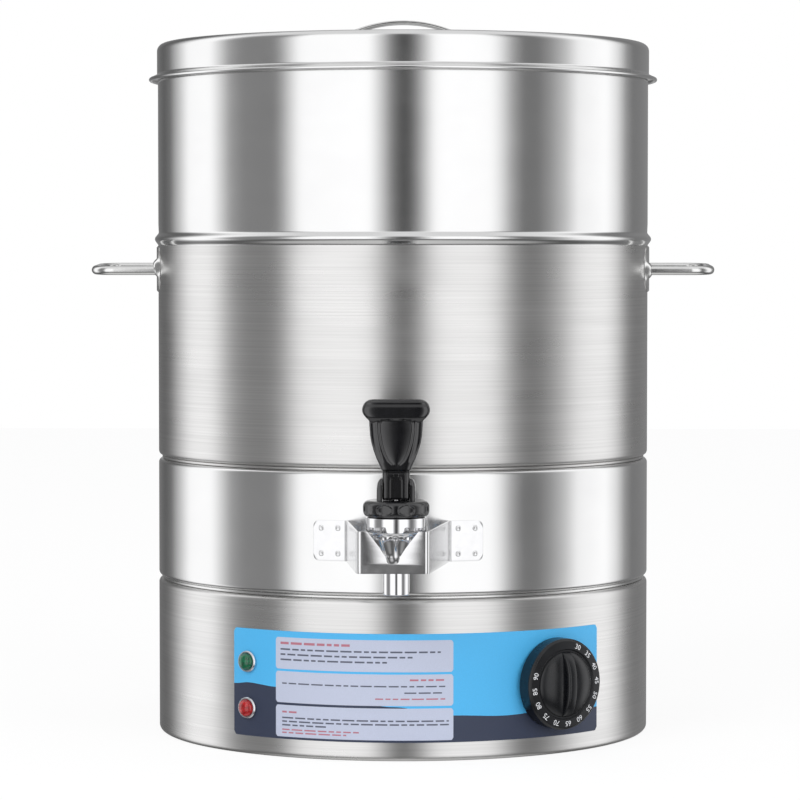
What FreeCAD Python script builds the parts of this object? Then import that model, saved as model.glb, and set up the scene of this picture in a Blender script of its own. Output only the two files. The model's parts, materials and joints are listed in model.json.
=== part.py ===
import FreeCAD, Part
import math
import operator
import os
import Sketcher
from FreeCAD import Placement, Rotation, Vector

# Hot water urn, in millimetres. The origin is on the urn's axis at the plane it stands on.
# Z points up and the tap is on the -Y side. Angles round the body are measured from the tap,
# and are positive towards +X.

SIZES = {
    # Body shells
    "body_radius": 170.0,
    "sheet_wall": 1.0,
    "corner_radius": 3.5,
    "foot_width": 8.0,
    "flange_lift": 5.0,
    "flange_reach": 14.0,
    "groove_low": 108.6,
    "groove_high": 190.1,
    "groove_half": 3.5,
    "groove_depth": 2.7,
    "seam_lap": 2.0,
    "bead_level": 340.4,
    "bead_half": 4.0,
    "bead_proud": 2.4,
    "joggle_level": 451.0,
    "joggle_rise": 3.0,
    "joggle_depth": 2.1,
    "fit_gap": 0.1,
    "safe_gap": 0.3,
    "drill_run": 10.0,
    # Lid
    "lid_side": 24.0,
    "lid_wall": 0.8,
    "lid_slip": 0.8,
    "lid_corner": 5.0,
    "hem_rise": 4.5,
    "hem_drop": 6.5,
    "hem_reach": 5.6,
    "hem_edge": 1.4,
    "strap_rise": 16.6,
    "strap_wall": 2.0,
    "strap_width": 20.0,
    "strap_radius": 91.0,
    "strap_foot": 11.0,
    "rivet_radius": 1.6,
    "rivet_head": 3.2,
    "rivet_spread": 5.0,
    # Tank and insulation
    "tank_gap": 15.0,
    "tank_floor": 118.0,
    "tank_corner": 12.0,
    "rim_radius": 4.5,
    "rim_drop": 12.0,
    "wool_rise": 9.0,
    # Side handles
    "handle_level": 319.8,
    "handle_rod": 3.1,
    "handle_reach": 43.8,
    "handle_half": 30.0,
    "handle_bend": 14.0,
    "handle_tilt": 2.0,
    "plate_half_width": 37.0,
    "plate_half_height": 16.0,
    "plate_wall": 1.2,
    "boss_radius": 6.5,
    "boss_stand": 3.0,
    # Tap
    "tap_reach": 52.0,
    "spout_end": 114.4,
    "spout_radius": 8.5,
    "spout_bore": 5.5,
    "funnel_low": 136.0,
    "funnel_high": 152.5,
    "funnel_radius": 17.3,
    "collar_radius": 19.0,
    "collar_high": 164.1,
    "chamber_radius": 14.0,
    "seat_level": 141.0,
    "seat_radius": 8.6,
    "shank_level": 149.5,
    "shank_radius": 10.3,
    "shank_bore": 6.0,
    "shank_inside": 20.0,
    "shank_flange": 15.5,
    "shank_flange_wall": 3.0,
    "washer_wall": 2.5,
    "nut_across": 30.0,
    "nut_wall": 7.0,
    "ring_radius": 21.2,
    "ring_rise": 10.5,
    "ring_round": 3.0,
    "hub_radius": 12.0,
    "hub_rise": 14.0,
    "spigot_drop": 6.1,
    "dimple_count": 9,
    "dimple_depth": 0.8,
    "dimple_half_width": 6.0,
    "dimple_half_height": 3.6,
    "stem_radius": 2.5,
    "pin_radius": 1.5,
    "pin_rise": 7.6,
    "pin_run": 0.05,
    "stem_head": 3.5,
    "cup_radius": 7.0,
    "cup_rise": 8.7,
    "spring_radius": 4.6,
    "spring_wire": 0.6,
    "spring_turns": 4,
    "cup_hollow": 1.2,
    "cup_lip": 0.2,
    "cup_crown": 2.6,
    "neck_half": 8.7,
    "neck_depth": 6.5,
    "paddle_low": 22.8,
    "paddle_side": 47.8,
    "bar_low": 50.5,
    "bar_mid": 57.1,
    "paddle_top": 63.9,
    "paddle_foot_half": 10.5,
    "paddle_half": 17.0,
    "bar_half": 21.6,
    "bar_flat_half": 15.5,
    "bar_round": 6.8,
    "paddle_curve": 60.0,
    "dish_depth": 1.5,
    "dish_half": 11.2,
    "dish_back": 2.4,
    "lever_ease": 1.5,
    "lever_taper": 3.5,
    "lever_waist": 8.0,
    # Tap guard
    "guard_low": 130.7,
    "guard_rise": 26.4,
    "guard_wall": 1.2,
    "guard_reach": 84.0,
    "guard_front_half": 22.7,
    "guard_root_half": 33.2,
    "guard_skew": 1.5,
    "guard_foot_angle": 18.8,
    "guard_bend": 3.0,
    "guard_foot_corner": 4.5,
    "notch_top_half": 16.6,
    "notch_mid_half": 8.1,
    "notch_mid_drop": 10.2,
    "notch_drop": 20.8,
    "notch_round": 4.4,
    "notch_flare": 1.6,
    "weld_radius": 1.5,
    "weld_proud": 0.4,
    "weld_top": 1.0,
    "weld_shift": 0.4,
    "weld_turn": 1.9,
    "weld_rise": 8.3,
    # Control panel
    "label_low": 12.5,
    "label_rise": 71.0,
    "label_film": 0.05,
    "label_wall": 0.3,
    "label_start": -39.9,
    "label_sweep": 90.4,
    "lamp_angle": -35.8,
    "green_lamp_level": 61.7,
    "red_lamp_level": 31.0,
    "lens_radius": 5.7,
    "lens_dome": 3.4,
    "bezel_radius": 7.25,
    "bezel_rise": 2.2,
    "bezel_edge": 0.8,
    "lens_seat": 1.2,
    "lamp_shank": 5.0,
    "lamp_length": 24.0,
    "lamp_nut_radius": 8.0,
    "lamp_nut_wall": 3.0,
    "knob_angle": 37.1,
    "knob_level": 47.8,
    "knob_radius": 30.0,
    "knob_skirt": 7.0,
    "knob_gap": 0.9,
    "knob_wall": 2.4,
    "knob_dome_radius": 22.0,
    "knob_dome": 6.0,
    "knob_bar_half": 4.0,
    "knob_rise": 20.0,
    "knob_socket": 6.0,
    "socket_depth": 11.0,
    "shaft_radius": 3.0,
    "shaft_run": 0.05,
    "shaft_inside": 13.5,
    "shaft_outside": 9.5,
    "thermostat_side": 40.0,
    "thermostat_deep": 22.0,
    "thermostat_stand": 4.0,
    "thermostat_screw": 1.9,
    "thermostat_pitch": 28.0,
    "thermostat_post": 4.0,
    "thermostat_thread": 5.5,
    "screw_head": 3.6,
    "screw_head_rise": 2.0,
    "screw_edge": 0.8,
    # Base fittings
    "cover_wall": 1.0,
    "cover_screw_count": 6,
    "cover_screw": 2.0,
    "cover_head": 2.2,
    "cover_head_out": 2.0,
    "cover_thread": 6.0,
    "vent_count": 12,
    "vent_radius": 3.0,
    "vent_ring": 90.0,
    "element_tube": 4.0,
    "element_ring": 90.0,
    "element_level": 134.0,
    "element_bend": 12.0,
    "element_leg_angle": 150.0,
    "element_tail": 26.0,
    "element_nut_radius": 9.0,
    "element_nut_wall": 6.0,
    "gasket_wall": 2.0,
    "cutout_radius": 12.0,
    "cutout_rise": 9.0,
    "cutout_step": 3.0,
    "cutout_flange": 4.0,
    "cutout_back": 20.0,
    "bulb_radius": 3.0,
    "bulb_length": 80.0,
    "bulb_back": 30.0,
    "clip_wall": 1.0,
    "clip_width": 8.0,
    "clip_foot": 12.0,
    "clip_inset": 12.0,
    "capillary_radius": 0.9,
    "capillary_run": 22.0,
    "capillary_bend": 9.0,
    "block_length": 46.0,
    "block_width": 20.0,
    "block_rise": 16.0,
    "block_back": 112.0,
    "block_floor": 4.0,
    "block_head": 1.6,
    "block_inset": 8.0,
    "stud_foot": 5.0,
    "stud_foot_wall": 3.0,
    "stud_radius": 2.0,
    "stud_rise": 14.0,
    "stud_run": 60.0,
    "gland_level": 42.0,
    "gland_bore": 4.5,
    "gland_radius": 8.0,
    "gland_flange": 12.0,
    "gland_out": 12.0,
    "gland_in": 14.0,
    "gland_cap": 15.0,
    "gland_flange_wall": 3.0,
    "gland_round": 3.0,
    "gland_nut": 5.0,
    "wire_radius": 1.4,
    "wire_bend": 8.0,
    "wire_lead": 20.0,
    "wire_lift": 7.0,
    "wire_lane": 12.0,
    "wire_step": 4.0,
    "wire_turn": 60.0,
    "wire_low": 60.0,
    "wire_high": 90.0,
    "lamp_turn": 40.0,
    "wire_offset": 8.0,
}


NEAR = 0.3
ON_SURFACE = 0.05
STRAIGHT_UP = 0.99


class Size:
    """A number that keeps the sheet formula that it comes from."""

    def __init__(self, value, formula):
        self.value = float(value)
        self.formula = formula

    def joined(self, sign, work, left, right):
        text = "({} {} {})".format(formula_of(left), sign, formula_of(right))
        return Size(work(number(left), number(right)), text)

    def __add__(self, other):
        return self.joined("+", operator.add, self, other)

    def __radd__(self, other):
        return self.joined("+", operator.add, other, self)

    def __sub__(self, other):
        return self.joined("-", operator.sub, self, other)

    def __rsub__(self, other):
        return self.joined("-", operator.sub, other, self)

    def __mul__(self, other):
        return self.joined("*", operator.mul, self, other)

    def __rmul__(self, other):
        return self.joined("*", operator.mul, other, self)

    def __truediv__(self, other):
        return self.joined("/", operator.truediv, self, other)

    def __neg__(self):
        return self.joined("*", operator.mul, -1, self)


def number(size):
    return size.value if isinstance(size, Size) else float(size)


def formula_of(size):
    return size.formula if isinstance(size, Size) else repr(float(size))


def root(size):
    return Size(math.sqrt(number(size)), "sqrt({})".format(formula_of(size)))


def square(size):
    return size * size


doc = FreeCAD.newDocument("HotWaterUrn")
sheet = doc.addObject("Spreadsheet::Sheet", "Sizes")
named = {}
for row, (word, value) in enumerate(SIZES.items(), start=1):
    sheet.set("A{}".format(row), word)
    sheet.set("B{}".format(row), str(value))
    sheet.setAlias("B{}".format(row), word)
    named[word] = Size(value, "Sizes." + word)
doc.recompute()


class Named:
    """Gives each size in the sheet as an attribute."""

    def __getattr__(self, word):
        return named[word]


size = Named()
pieces = {}


def bind(item, path, value):
    """Ties one property to its formula in the sheet."""
    if isinstance(value, Size):
        item.setExpression(path, value.formula)
    else:
        setattr(item, path, value)


def keep(label, item):
    """Records an object as a finished sub-part under its own name."""
    item.Label = label
    pieces[label] = item
    return item


def plane_of(body, role):
    return [item for item in body.Origin.OriginFeatures if item.Role == role][0]


def arc_between(start, end, radius):
    """The shorter arc from start to end. A positive radius has its centre on the left."""
    chord = end - start
    side = Vector(-chord.y, chord.x, 0) / chord.Length
    depth = math.sqrt(max(radius * radius - chord.Length ** 2 / 4, 0))
    centre = (start + end) / 2 + side * math.copysign(depth, radius)
    first, last = (start, end) if radius > 0 else (end, start)
    turn = [math.atan2(point.y - centre.y, point.x - centre.x) for point in (first, last)]
    if turn[1] < turn[0]:
        turn[1] += 2 * math.pi
    circle = Part.Circle(centre, Vector(0, 0, 1), abs(radius))
    return Part.ArcOfCircle(circle, turn[0], turn[1])


def fix_point(sketch, geometry, place, point):
    """Holds a sketch point at its own two sizes from the sketch origin."""
    for kind, axis, value in (("DistanceX", -2, point[0]), ("DistanceY", -1, point[1])):
        if number(value) == 0:
            sketch.addConstraint(Sketcher.Constraint("PointOnObject", geometry, place, axis))
            continue
        rule = Sketcher.Constraint(kind, -1, 1, geometry, place, number(value))
        index = sketch.addConstraint(rule)
        hold(sketch, index, value)


def hold(sketch, index, value):
    """Names a constraint and ties it to its formula."""
    if isinstance(value, Size):
        word = "rule{}".format(index)
        sketch.renameConstraint(index, word)
        sketch.setExpression("Constraints." + word, value.formula)


def draw_loop(sketch, corners):
    """Draws a closed loop. A corner is (x, y) or (x, y, radius of the arc that leaves it)."""
    ends = []
    for index, corner in enumerate(corners):
        following = corners[(index + 1) % len(corners)]
        start = Vector(number(corner[0]), number(corner[1]), 0)
        end = Vector(number(following[0]), number(following[1]), 0)
        if len(corner) == 3:
            edge = sketch.addGeometry(arc_between(start, end, number(corner[2])), False)
            forward = number(corner[2]) > 0
            ends.append((edge, 1, 2) if forward else (edge, 2, 1))
        else:
            edge = sketch.addGeometry(Part.LineSegment(start, end), False)
            ends.append((edge, 1, 2))
    for index, corner in enumerate(corners):
        edge, start, end = ends[index]
        after, after_start, _ = ends[(index + 1) % len(corners)]
        sketch.addConstraint(Sketcher.Constraint("Coincident", edge, end, after, after_start))
        fix_point(sketch, edge, start, corner)
        if len(corner) == 3:
            radius = corner[2] if number(corner[2]) > 0 else -corner[2]
            rule = Sketcher.Constraint("Radius", edge, number(radius))
            hold(sketch, sketch.addConstraint(rule), radius)


def draw_circle(sketch, x, y, radius):
    circle = Part.Circle(Vector(number(x), number(y), 0), Vector(0, 0, 1), number(radius))
    edge = sketch.addGeometry(circle, False)
    fix_point(sketch, edge, 3, (x, y))
    hold(sketch, sketch.addConstraint(Sketcher.Constraint("Radius", edge, number(radius))), radius)


def sketch_in(body, role, loops=(), circles=(), lift=None):
    sketch = body.newObject("Sketcher::SketchObject", body.Name + "Sketch")
    sketch.AttachmentSupport = [(plane_of(body, role), "")]
    sketch.MapMode = "FlatFace"
    if lift is not None:
        sketch.setExpression("AttachmentOffset.Base.z", formula_of(lift))
    for corners in loops:
        draw_loop(sketch, corners)
    for x, y, radius in circles:
        draw_circle(sketch, x, y, radius)
    return sketch


def turned(name, *loops):
    """A body of revolution about its own Z axis, drawn in its X-Z plane."""
    body = doc.addObject("PartDesign::Body", name)
    sketch = sketch_in(body, "XZ_Plane", loops)
    turn = body.newObject("PartDesign::Revolution", name + "Turn")
    turn.Profile = sketch
    turn.ReferenceAxis = (sketch, ["V_Axis"])
    turn.Angle = 360
    return body


def pressed(name, role, loops=(), circles=(), length=1, lift=None, symmetric=False):
    """A body made by pushing an outline along its plane's normal."""
    body = doc.addObject("PartDesign::Body", name)
    sketch = sketch_in(body, role, loops, circles, lift)
    pad = body.newObject("PartDesign::Pad", name + "Pad")
    pad.Profile = sketch
    if symmetric:
        pad.SideType = "Symmetric"
    bind(pad, "Length", length)
    return body


def primitive(kind, name, place=None, **values):
    item = doc.addObject("Part::" + kind, name)
    for word, value in values.items():
        bind(item, word, value)
    if place is not None:
        item.Placement = place
    return item


def fused(name, *items):
    if len(items) == 1:
        return items[0]
    item = doc.addObject("Part::MultiFuse", name)
    item.Shapes = list(items)
    return item


def cut(name, base, *tools):
    item = doc.addObject("Part::Cut", name)
    item.Base = base
    item.Tool = fused(name + "Tools", *tools)
    return item


def common(name, *items):
    item = doc.addObject("Part::MultiCommon", name)
    item.Shapes = list(items)
    return item


def shaped(name, shape):
    item = doc.addObject("Part::Feature", name)
    item.Shape = shape
    return item


def at(x=0, y=0, z=0, spin=None):
    return Placement(Vector(number(x), number(y), number(z)), spin or Rotation())


def on_wall(angle, level, radius):
    """A place on the body whose own Z points outwards and whose own Y points up."""
    spin = Rotation(Vector(0, 0, 1), number(angle)) * Rotation(Vector(1, 0, 0), 90)
    turn = math.radians(number(angle))
    reach = number(radius)
    return Placement(Vector(reach * math.sin(turn), -reach * math.cos(turn), number(level)), spin)


def inside(place, x=0, y=0, z=0, spin=None):
    return place.multiply(at(x, y, z, spin))


def rounded_route(points, bend):
    """Straight runs joined by tangent arcs."""
    edges = []
    start = points[0]
    for index in range(1, len(points) - 1):
        before, corner, after = points[index - 1], points[index], points[index + 1]
        back = (before - corner).normalize()
        ahead = (after - corner).normalize()
        half = back.getAngle(ahead) / 2
        trim = bend / math.tan(half)
        first = corner + back * trim
        last = corner + ahead * trim
        middle_way = (back + ahead).normalize()
        middle = corner + middle_way * (bend / math.sin(half) - bend)
        if (first - start).Length > 1e-6:
            edges.append(Part.LineSegment(start, first).toShape())
        edges.append(Part.Arc(first, middle, last).toShape())
        start = last
    edges.append(Part.LineSegment(start, points[-1]).toShape())
    return Part.Wire(edges)


def tube_along(wire, radius):
    """A round solid swept along a wire."""
    first = wire.Edges[0]
    start = first.valueAt(first.FirstParameter)
    along = first.tangentAt(first.FirstParameter)
    circle = Part.Wire(Part.makeCircle(radius, start, along))
    return wire.makePipeShell([circle], True, False)


body_inner = size.body_radius - size.sheet_wall
tap_axis = size.body_radius + size.tap_reach
tank_radius = size.body_radius - size.tank_gap
lid_top = size.joggle_level + size.lid_side
hem_level = size.joggle_level + size.hem_rise
rim_top = lid_top - size.lid_wall - size.safe_gap
groove_round = (square(size.groove_half) + square(size.groove_depth)) / (2 * size.groove_depth)
label_face = size.label_film + size.label_wall
seam_outer = size.body_radius - size.groove_depth
seam_inner = seam_outer - size.seam_lap
groove_inner = size.body_radius - groove_round + root(
    square(groove_round - size.sheet_wall) - square(size.groove_half - size.sheet_wall))


def seam_above(level):
    """The top end of a band: a rounded shoulder and a flange that lies in the groove."""
    return [
        (size.body_radius, level - size.groove_half, groove_round),
        (seam_outer, level),
        (seam_inner, level),
        (seam_inner, level - size.sheet_wall),
        (groove_inner, level - size.sheet_wall, size.sheet_wall - groove_round),
        (body_inner, level - size.groove_half),
    ]


def seam_below(level):
    """The bottom end of a band, a mirror image of seam_above."""
    return [
        (body_inner, level + size.groove_half, size.sheet_wall - groove_round),
        (groove_inner, level + size.sheet_wall),
        (seam_inner, level + size.sheet_wall),
        (seam_inner, level),
        (seam_outer, level, groove_round),
        (size.body_radius, level + size.groove_half),
    ]


def lamp_place(level, out=0):
    return on_wall(size.lamp_angle, level, size.body_radius + out)


def knob_place(out=0):
    return on_wall(size.knob_angle, size.knob_level, size.body_radius + out)


def wall_drill(name, place, radius, depth=6.0):
    """A drill through the wall, centred on its surface."""
    return primitive("Cylinder", name, inside(place, z=-depth), Radius=radius, Height=2 * depth)


def gland_place(out=0):
    return on_wall(180, size.gland_level, size.body_radius + out)


def panel_drills(name):
    """The holes that the skirt and the label share."""
    drills = []
    for lamp, level in (("Green", size.green_lamp_level), ("Red", size.red_lamp_level)):
        drill = wall_drill(name + lamp, lamp_place(level), size.lamp_shank + size.fit_gap)
        drills.append(drill)
    centre_hole = size.knob_socket + size.safe_gap
    drills.append(wall_drill(name + "Shaft", knob_place(), centre_hole))
    for side in (-1, 1):
        place = inside(knob_place(), y=side * number(size.thermostat_pitch) / 2)
        hole = size.thermostat_screw + size.fit_gap
        drills.append(wall_drill("{}Screw{}".format(name, side + 1), place, hole))
    return drills


def make_base_skirt():
    corner = size.corner_radius
    foot = size.body_radius - size.foot_width
    flange = foot - size.flange_reach
    wall = size.sheet_wall
    loop = [
        (size.body_radius - corner, 0, corner),
        (size.body_radius, corner),
    ]
    loop += seam_above(size.groove_low)
    loop += [
        (body_inner, corner, wall - corner),
        (size.body_radius - corner, wall),
        (foot + wall, wall),
        (foot + wall, size.flange_lift + wall),
        (flange, size.flange_lift + wall),
        (flange, size.flange_lift),
        (foot, size.flange_lift),
        (foot, 0),
    ]
    shell = turned("SkirtShell", loop)
    drills = panel_drills("Skirt")
    drills.append(wall_drill("SkirtGland", gland_place(), size.gland_radius + size.fit_gap))
    drills += cover_drills("Skirt")
    keep("base_skirt", cut("BaseSkirt", shell, *drills))


def cover_screw_places():
    ring = number(size.body_radius - size.foot_width - size.flange_reach / 2)
    count = int(number(size.cover_screw_count))
    for index in range(count):
        turn = 2 * math.pi * (index + 0.5) / count
        yield ring * math.cos(turn), ring * math.sin(turn)


def cover_drills(name):
    drills = []
    for index, (x, y) in enumerate(cover_screw_places()):
        radius = size.cover_screw + size.fit_gap
        drill = primitive("Cylinder", "{}CoverHole{}".format(name, index), at(x, y),
                          Radius=radius, Height=size.flange_lift + size.drill_run)
        drills.append(drill)
    return drills


def make_bands():
    tap_loop = seam_above(size.groove_high) + seam_below(size.groove_low)
    hole = primitive("Cylinder", "BandShankHole", shank_place(size.body_radius - 2 * size.drill_run),
                     Radius=size.shank_radius + size.safe_gap, Height=4 * size.drill_run)
    keep("tap_band", cut("TapBand", turned("TapBandShell", tap_loop), hole))
    bead_low = size.bead_level - size.bead_half
    middle_loop = seam_below(size.groove_high) + [(size.body_radius, bead_low), (body_inner, bead_low)]
    keep("middle_band", turned("MiddleBand", middle_loop))
    make_top_band(bead_low)


def make_top_band(bead_low):
    wall = size.sheet_wall
    bead_high = size.bead_level + size.bead_half
    bead_round = (square(size.bead_half) + square(size.bead_proud)) / (2 * size.bead_proud)
    inner_round = bead_round - wall
    inner_half = root(square(inner_round) - square(inner_round - size.bead_proud))
    neck = size.body_radius - size.joggle_depth
    neck_low = size.joggle_level + size.joggle_rise
    neck_high = rim_top - size.rim_radius
    loop = [
        (size.body_radius, bead_low, bead_round),
        (size.body_radius, bead_high),
        (size.body_radius, size.joggle_level),
        (neck, neck_low),
        (neck, neck_high),
        (neck - wall, neck_high),
        (neck - wall, neck_low),
        (body_inner, size.joggle_level),
        (body_inner, size.bead_level + inner_half, -inner_round),
        (body_inner, size.bead_level - inner_half),
        (body_inner, bead_low),
    ]
    keep("top_band", turned("TopBand", loop))


def make_tank():
    wall = size.sheet_wall
    outer = tank_radius
    floor = size.tank_floor
    corner = size.tank_corner
    cap = size.body_radius - size.joggle_depth + size.fit_gap + wall
    loop = [
        (0, floor),
        (outer - corner, floor, corner),
        (outer, floor + corner),
        (outer, rim_top - wall),
        (cap - size.rim_radius, rim_top - wall, wall - size.rim_radius),
        (cap - wall, rim_top - size.rim_radius),
        (cap - wall, rim_top - size.rim_drop),
        (cap, rim_top - size.rim_drop),
        (cap, rim_top - size.rim_radius, size.rim_radius),
        (cap - size.rim_radius, rim_top),
        (outer - wall, rim_top),
        (outer - wall, floor + corner, wall - corner),
        (outer - corner, floor + wall),
        (0, floor + wall),
    ]
    holes = [primitive("Cylinder", "TankShankHole", shank_place(tank_radius - 2 * size.drill_run),
                       Radius=size.shank_radius + size.safe_gap,
                       Height=4 * size.drill_run)]
    for index, (x, y) in enumerate(element_feet()):
        hole = primitive("Cylinder", "TankElementHole{}".format(index), at(x, y, floor - size.drill_run),
                         Radius=size.element_tube + size.fit_gap, Height=2 * size.drill_run)
        holes.append(hole)
    keep("inner_tank", cut("InnerTank", turned("TankShell", loop), *holes))


def make_insulation():
    gap = size.safe_gap
    inner = tank_radius + gap
    outer = body_inner - gap
    ledge = size.groove_low + size.sheet_wall
    neck = size.body_radius - size.joggle_depth - size.sheet_wall - gap
    notch = seam_inner - gap
    low_notch = size.groove_high - size.groove_half - gap
    high_notch = size.groove_high + size.groove_half + gap
    loop = [
        (inner, ledge),
        (groove_inner - gap, ledge),
        (outer, ledge + size.groove_half),
        (outer, low_notch),
        (notch, low_notch),
        (notch, high_notch),
        (outer, high_notch),
        (outer, size.joggle_level - gap),
        (neck, size.joggle_level + size.joggle_rise - gap),
        (neck, size.joggle_level + size.wool_rise),
        (inner, size.joggle_level + size.wool_rise),
    ]
    hole = primitive("Cylinder", "WoolShankHole", shank_place(tank_radius - size.drill_run),
                     Radius=size.shank_radius + size.safe_gap,
                     Height=size.tank_gap + 2 * size.drill_run)
    keep("insulation", cut("Insulation", turned("Wool", loop), hole))


def make_lid():
    wall = size.lid_wall
    radius = size.body_radius - size.joggle_depth + size.fit_gap + size.sheet_wall
    radius = radius + size.lid_slip + wall
    corner = size.lid_corner
    top = lid_top
    hem_low = hem_level - size.hem_drop
    loop = [
        (0, top - wall),
        (radius - corner, top - wall, wall - corner),
        (radius - wall, top - corner),
        (radius - wall, hem_level - size.hem_edge),
        (radius + size.hem_reach - size.hem_edge, hem_low),
        (radius + size.hem_reach, hem_low + size.hem_edge / 2),
        (radius, hem_level),
        (radius, top - corner, corner),
        (radius - corner, top),
        (0, top),
    ]
    holes = rivet_drills("Lid")
    keep("lid", cut("Lid", turned("LidShell", loop), *holes))
    make_lid_handle()


def strap_points():
    """Where the arch of the lid handle meets the top and the underside of its feet."""
    drop = size.strap_radius - size.strap_rise
    under = size.strap_radius - size.strap_wall
    outer = root(square(size.strap_radius) - square(drop + size.strap_wall))
    inner = root(square(under) - square(drop))
    return outer, inner, inner + size.strap_foot


def rivet_places():
    outer, _, end = strap_points()
    x = (number(outer) + number(end)) / 2
    for along in (-x, x):
        for across in (-number(size.rivet_spread), number(size.rivet_spread)):
            yield along, across


def rivet_drills(name):
    drills = []
    for index, (x, y) in enumerate(rivet_places()):
        place = at(x, y, lid_top - size.drill_run)
        drill = primitive("Cylinder", "{}RivetHole{}".format(name, index), place,
                          Radius=size.rivet_radius + size.fit_gap, Height=2 * size.drill_run)
        drills.append(drill)
    return drills


def make_lid_handle():
    outer, inner, end = strap_points()
    low = lid_top
    high = lid_top + size.strap_wall
    loop = [
        (-end, low),
        (-inner, low, size.strap_wall - size.strap_radius),
        (inner, low),
        (end, low),
        (end, high),
        (outer, high, size.strap_radius),
        (-outer, high),
        (-end, high),
    ]
    strap = pressed("Strap", "XZ_Plane", [loop], length=size.strap_width, symmetric=True)
    keep("lid_handle", cut("LidHandle", strap, *rivet_drills("Strap")))
    rivets = []
    tail = lid_top - size.lid_wall
    head = lid_top + size.strap_wall
    profile = [
        (0, tail - 1),
        (size.rivet_head - 1, tail - 1),
        (size.rivet_head - 1, tail),
        (size.rivet_radius, tail),
        (size.rivet_radius, head),
        (size.rivet_head, head),
        (size.rivet_head - 1, head + 1),
        (0, head + 1),
    ]
    for index, (x, y) in enumerate(rivet_places()):
        rivet = turned("Rivet{}".format(index), profile)
        rivet.Placement = at(x, y)
        rivets.append(rivet)
    keep("lid_handle_rivets", grouped("LidHandleRivets", rivets))


def grouped(name, items):
    item = doc.addObject("Part::Compound", name)
    item.Links = items
    return item


def make_side_handle(label, spin, tilt_side):
    """A round rod bent to a loop, on an oval plate with two bosses. Its arm near the tap is lower."""
    rod = size.handle_rod
    root_x = size.body_radius + size.boss_stand
    far_x = size.body_radius + size.handle_reach
    half = size.handle_half
    bend = size.handle_bend
    lying = Rotation(Vector(0, 1, 0), 90)
    across = Rotation(Vector(1, 0, 0), -90)
    parts = []
    for side in (-1, 1):
        leg = primitive("Cylinder", "{}Leg{}".format(label, side + 1),
                        at(root_x, side * number(half), 0, lying),
                        Radius=rod, Height=far_x - bend - root_x)
        flat = Rotation(Vector(0, 0, 1), -90 if side < 0 else 0)
        corner = primitive("Torus", "{}Corner{}".format(label, side + 1),
                           at(far_x - bend, side * number(half - bend), 0, flat),
                           Radius1=bend, Radius2=rod, Angle3=90)
        parts += [leg, corner]
    bar = primitive("Cylinder", label + "Bar", at(far_x, -number(half - bend), 0, across),
                    Radius=rod, Height=2 * (half - bend))
    loop = fused(label + "Loop", *parts, bar)
    tilt = Rotation(Vector(1, 0, 0), tilt_side * number(size.handle_tilt))
    loop.Placement = at(0, 0, size.handle_level, spin * tilt)
    keep(label + "_handle", loop)
    make_handle_plate(label, spin, tilt_side)


def make_handle_plate(label, spin, tilt_side):
    wide = size.plate_half_width
    tall = size.plate_half_height
    oval = [
        (tall - wide, -tall),
        (wide - tall, -tall, tall),
        (wide, 0, tall),
        (wide - tall, tall),
        (tall - wide, tall, tall),
        (-wide, 0, tall),
    ]
    stamp = pressed(label + "Stamp", "YZ_Plane", [oval], length=3 * size.drill_run,
                    lift=size.body_radius - size.tank_gap)
    outer = primitive("Cylinder", label + "PlateOuter", at(z=-size.body_radius),
                      Height=2 * size.body_radius, Radius=size.body_radius + size.plate_wall)
    bosses = []
    lying = Rotation(Vector(0, 1, 0), 90)
    tilt = math.radians(tilt_side * number(size.handle_tilt))
    for side in (-1, 1):
        y = side * number(size.handle_half) * math.cos(tilt)
        z = side * number(size.handle_half) * math.sin(tilt)
        boss = primitive("Cone", "{}Boss{}".format(label, side + 1),
                         at(size.body_radius - size.drill_run, y, z, lying), Radius1=size.boss_radius + 3,
                         Radius2=size.boss_radius - 2, Height=size.drill_run + size.boss_stand)
        bosses.append(boss)
    solid = fused(label + "PlateSolid", common(label + "Plate", stamp, outer), *bosses)
    core = primitive("Cylinder", label + "PlateCore", at(z=-size.body_radius),
                     Height=2 * size.body_radius, Radius=size.body_radius)
    plate = cut(label + "HandlePlate", solid, core)
    plate.Placement = at(0, 0, size.handle_level, spin)
    keep(label + "_handle_plate", plate)


def shank_place(start):
    """A place on the shank's axis whose own Z points from the urn's axis to the tap."""
    return at(0, -number(start), size.shank_level, Rotation(Vector(1, 0, 0), 90))


def make_tap_body():
    wall_front = size.body_radius + size.washer_wall
    outer_loop = [
        (0, size.spout_end),
        (size.spout_radius, size.spout_end),
        (size.spout_radius, size.funnel_low),
        (size.funnel_radius, size.funnel_high),
        (size.collar_radius, size.funnel_high + 1),
        (size.collar_radius, size.collar_high),
        (0, size.collar_high),
    ]
    inner_loop = [
        (0, size.spout_end - 1),
        (size.spout_bore, size.spout_end - 1),
        (size.spout_bore, size.seat_level),
        (size.seat_radius, size.seat_level),
        (size.chamber_radius, size.funnel_high),
        (size.chamber_radius, size.collar_high + 1),
        (0, size.collar_high + 1),
    ]
    shell = turned("TapShell", outer_loop)
    hollow = turned("TapHollow", inner_loop)
    for item in (shell, hollow):
        item.setExpression("Placement.Base.y", formula_of(-tap_axis))
    tail = tank_radius - size.sheet_wall - size.shank_inside
    shank = primitive("Cylinder", "Shank", shank_place(tail), Radius=size.shank_radius,
                      Height=tap_axis - tail)
    flange = primitive("Cylinder", "ShankFlange", shank_place(wall_front),
                       Radius=size.shank_flange, Height=size.shank_flange_wall)
    bore = primitive("Cylinder", "ShankBore", shank_place(tail - 1), Radius=size.shank_bore,
                     Height=tap_axis - tail + 1)
    solid = fused("TapSolid", shell, shank, flange)
    keep("tap_body", cut("TapBody", solid, hollow, bore))


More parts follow.
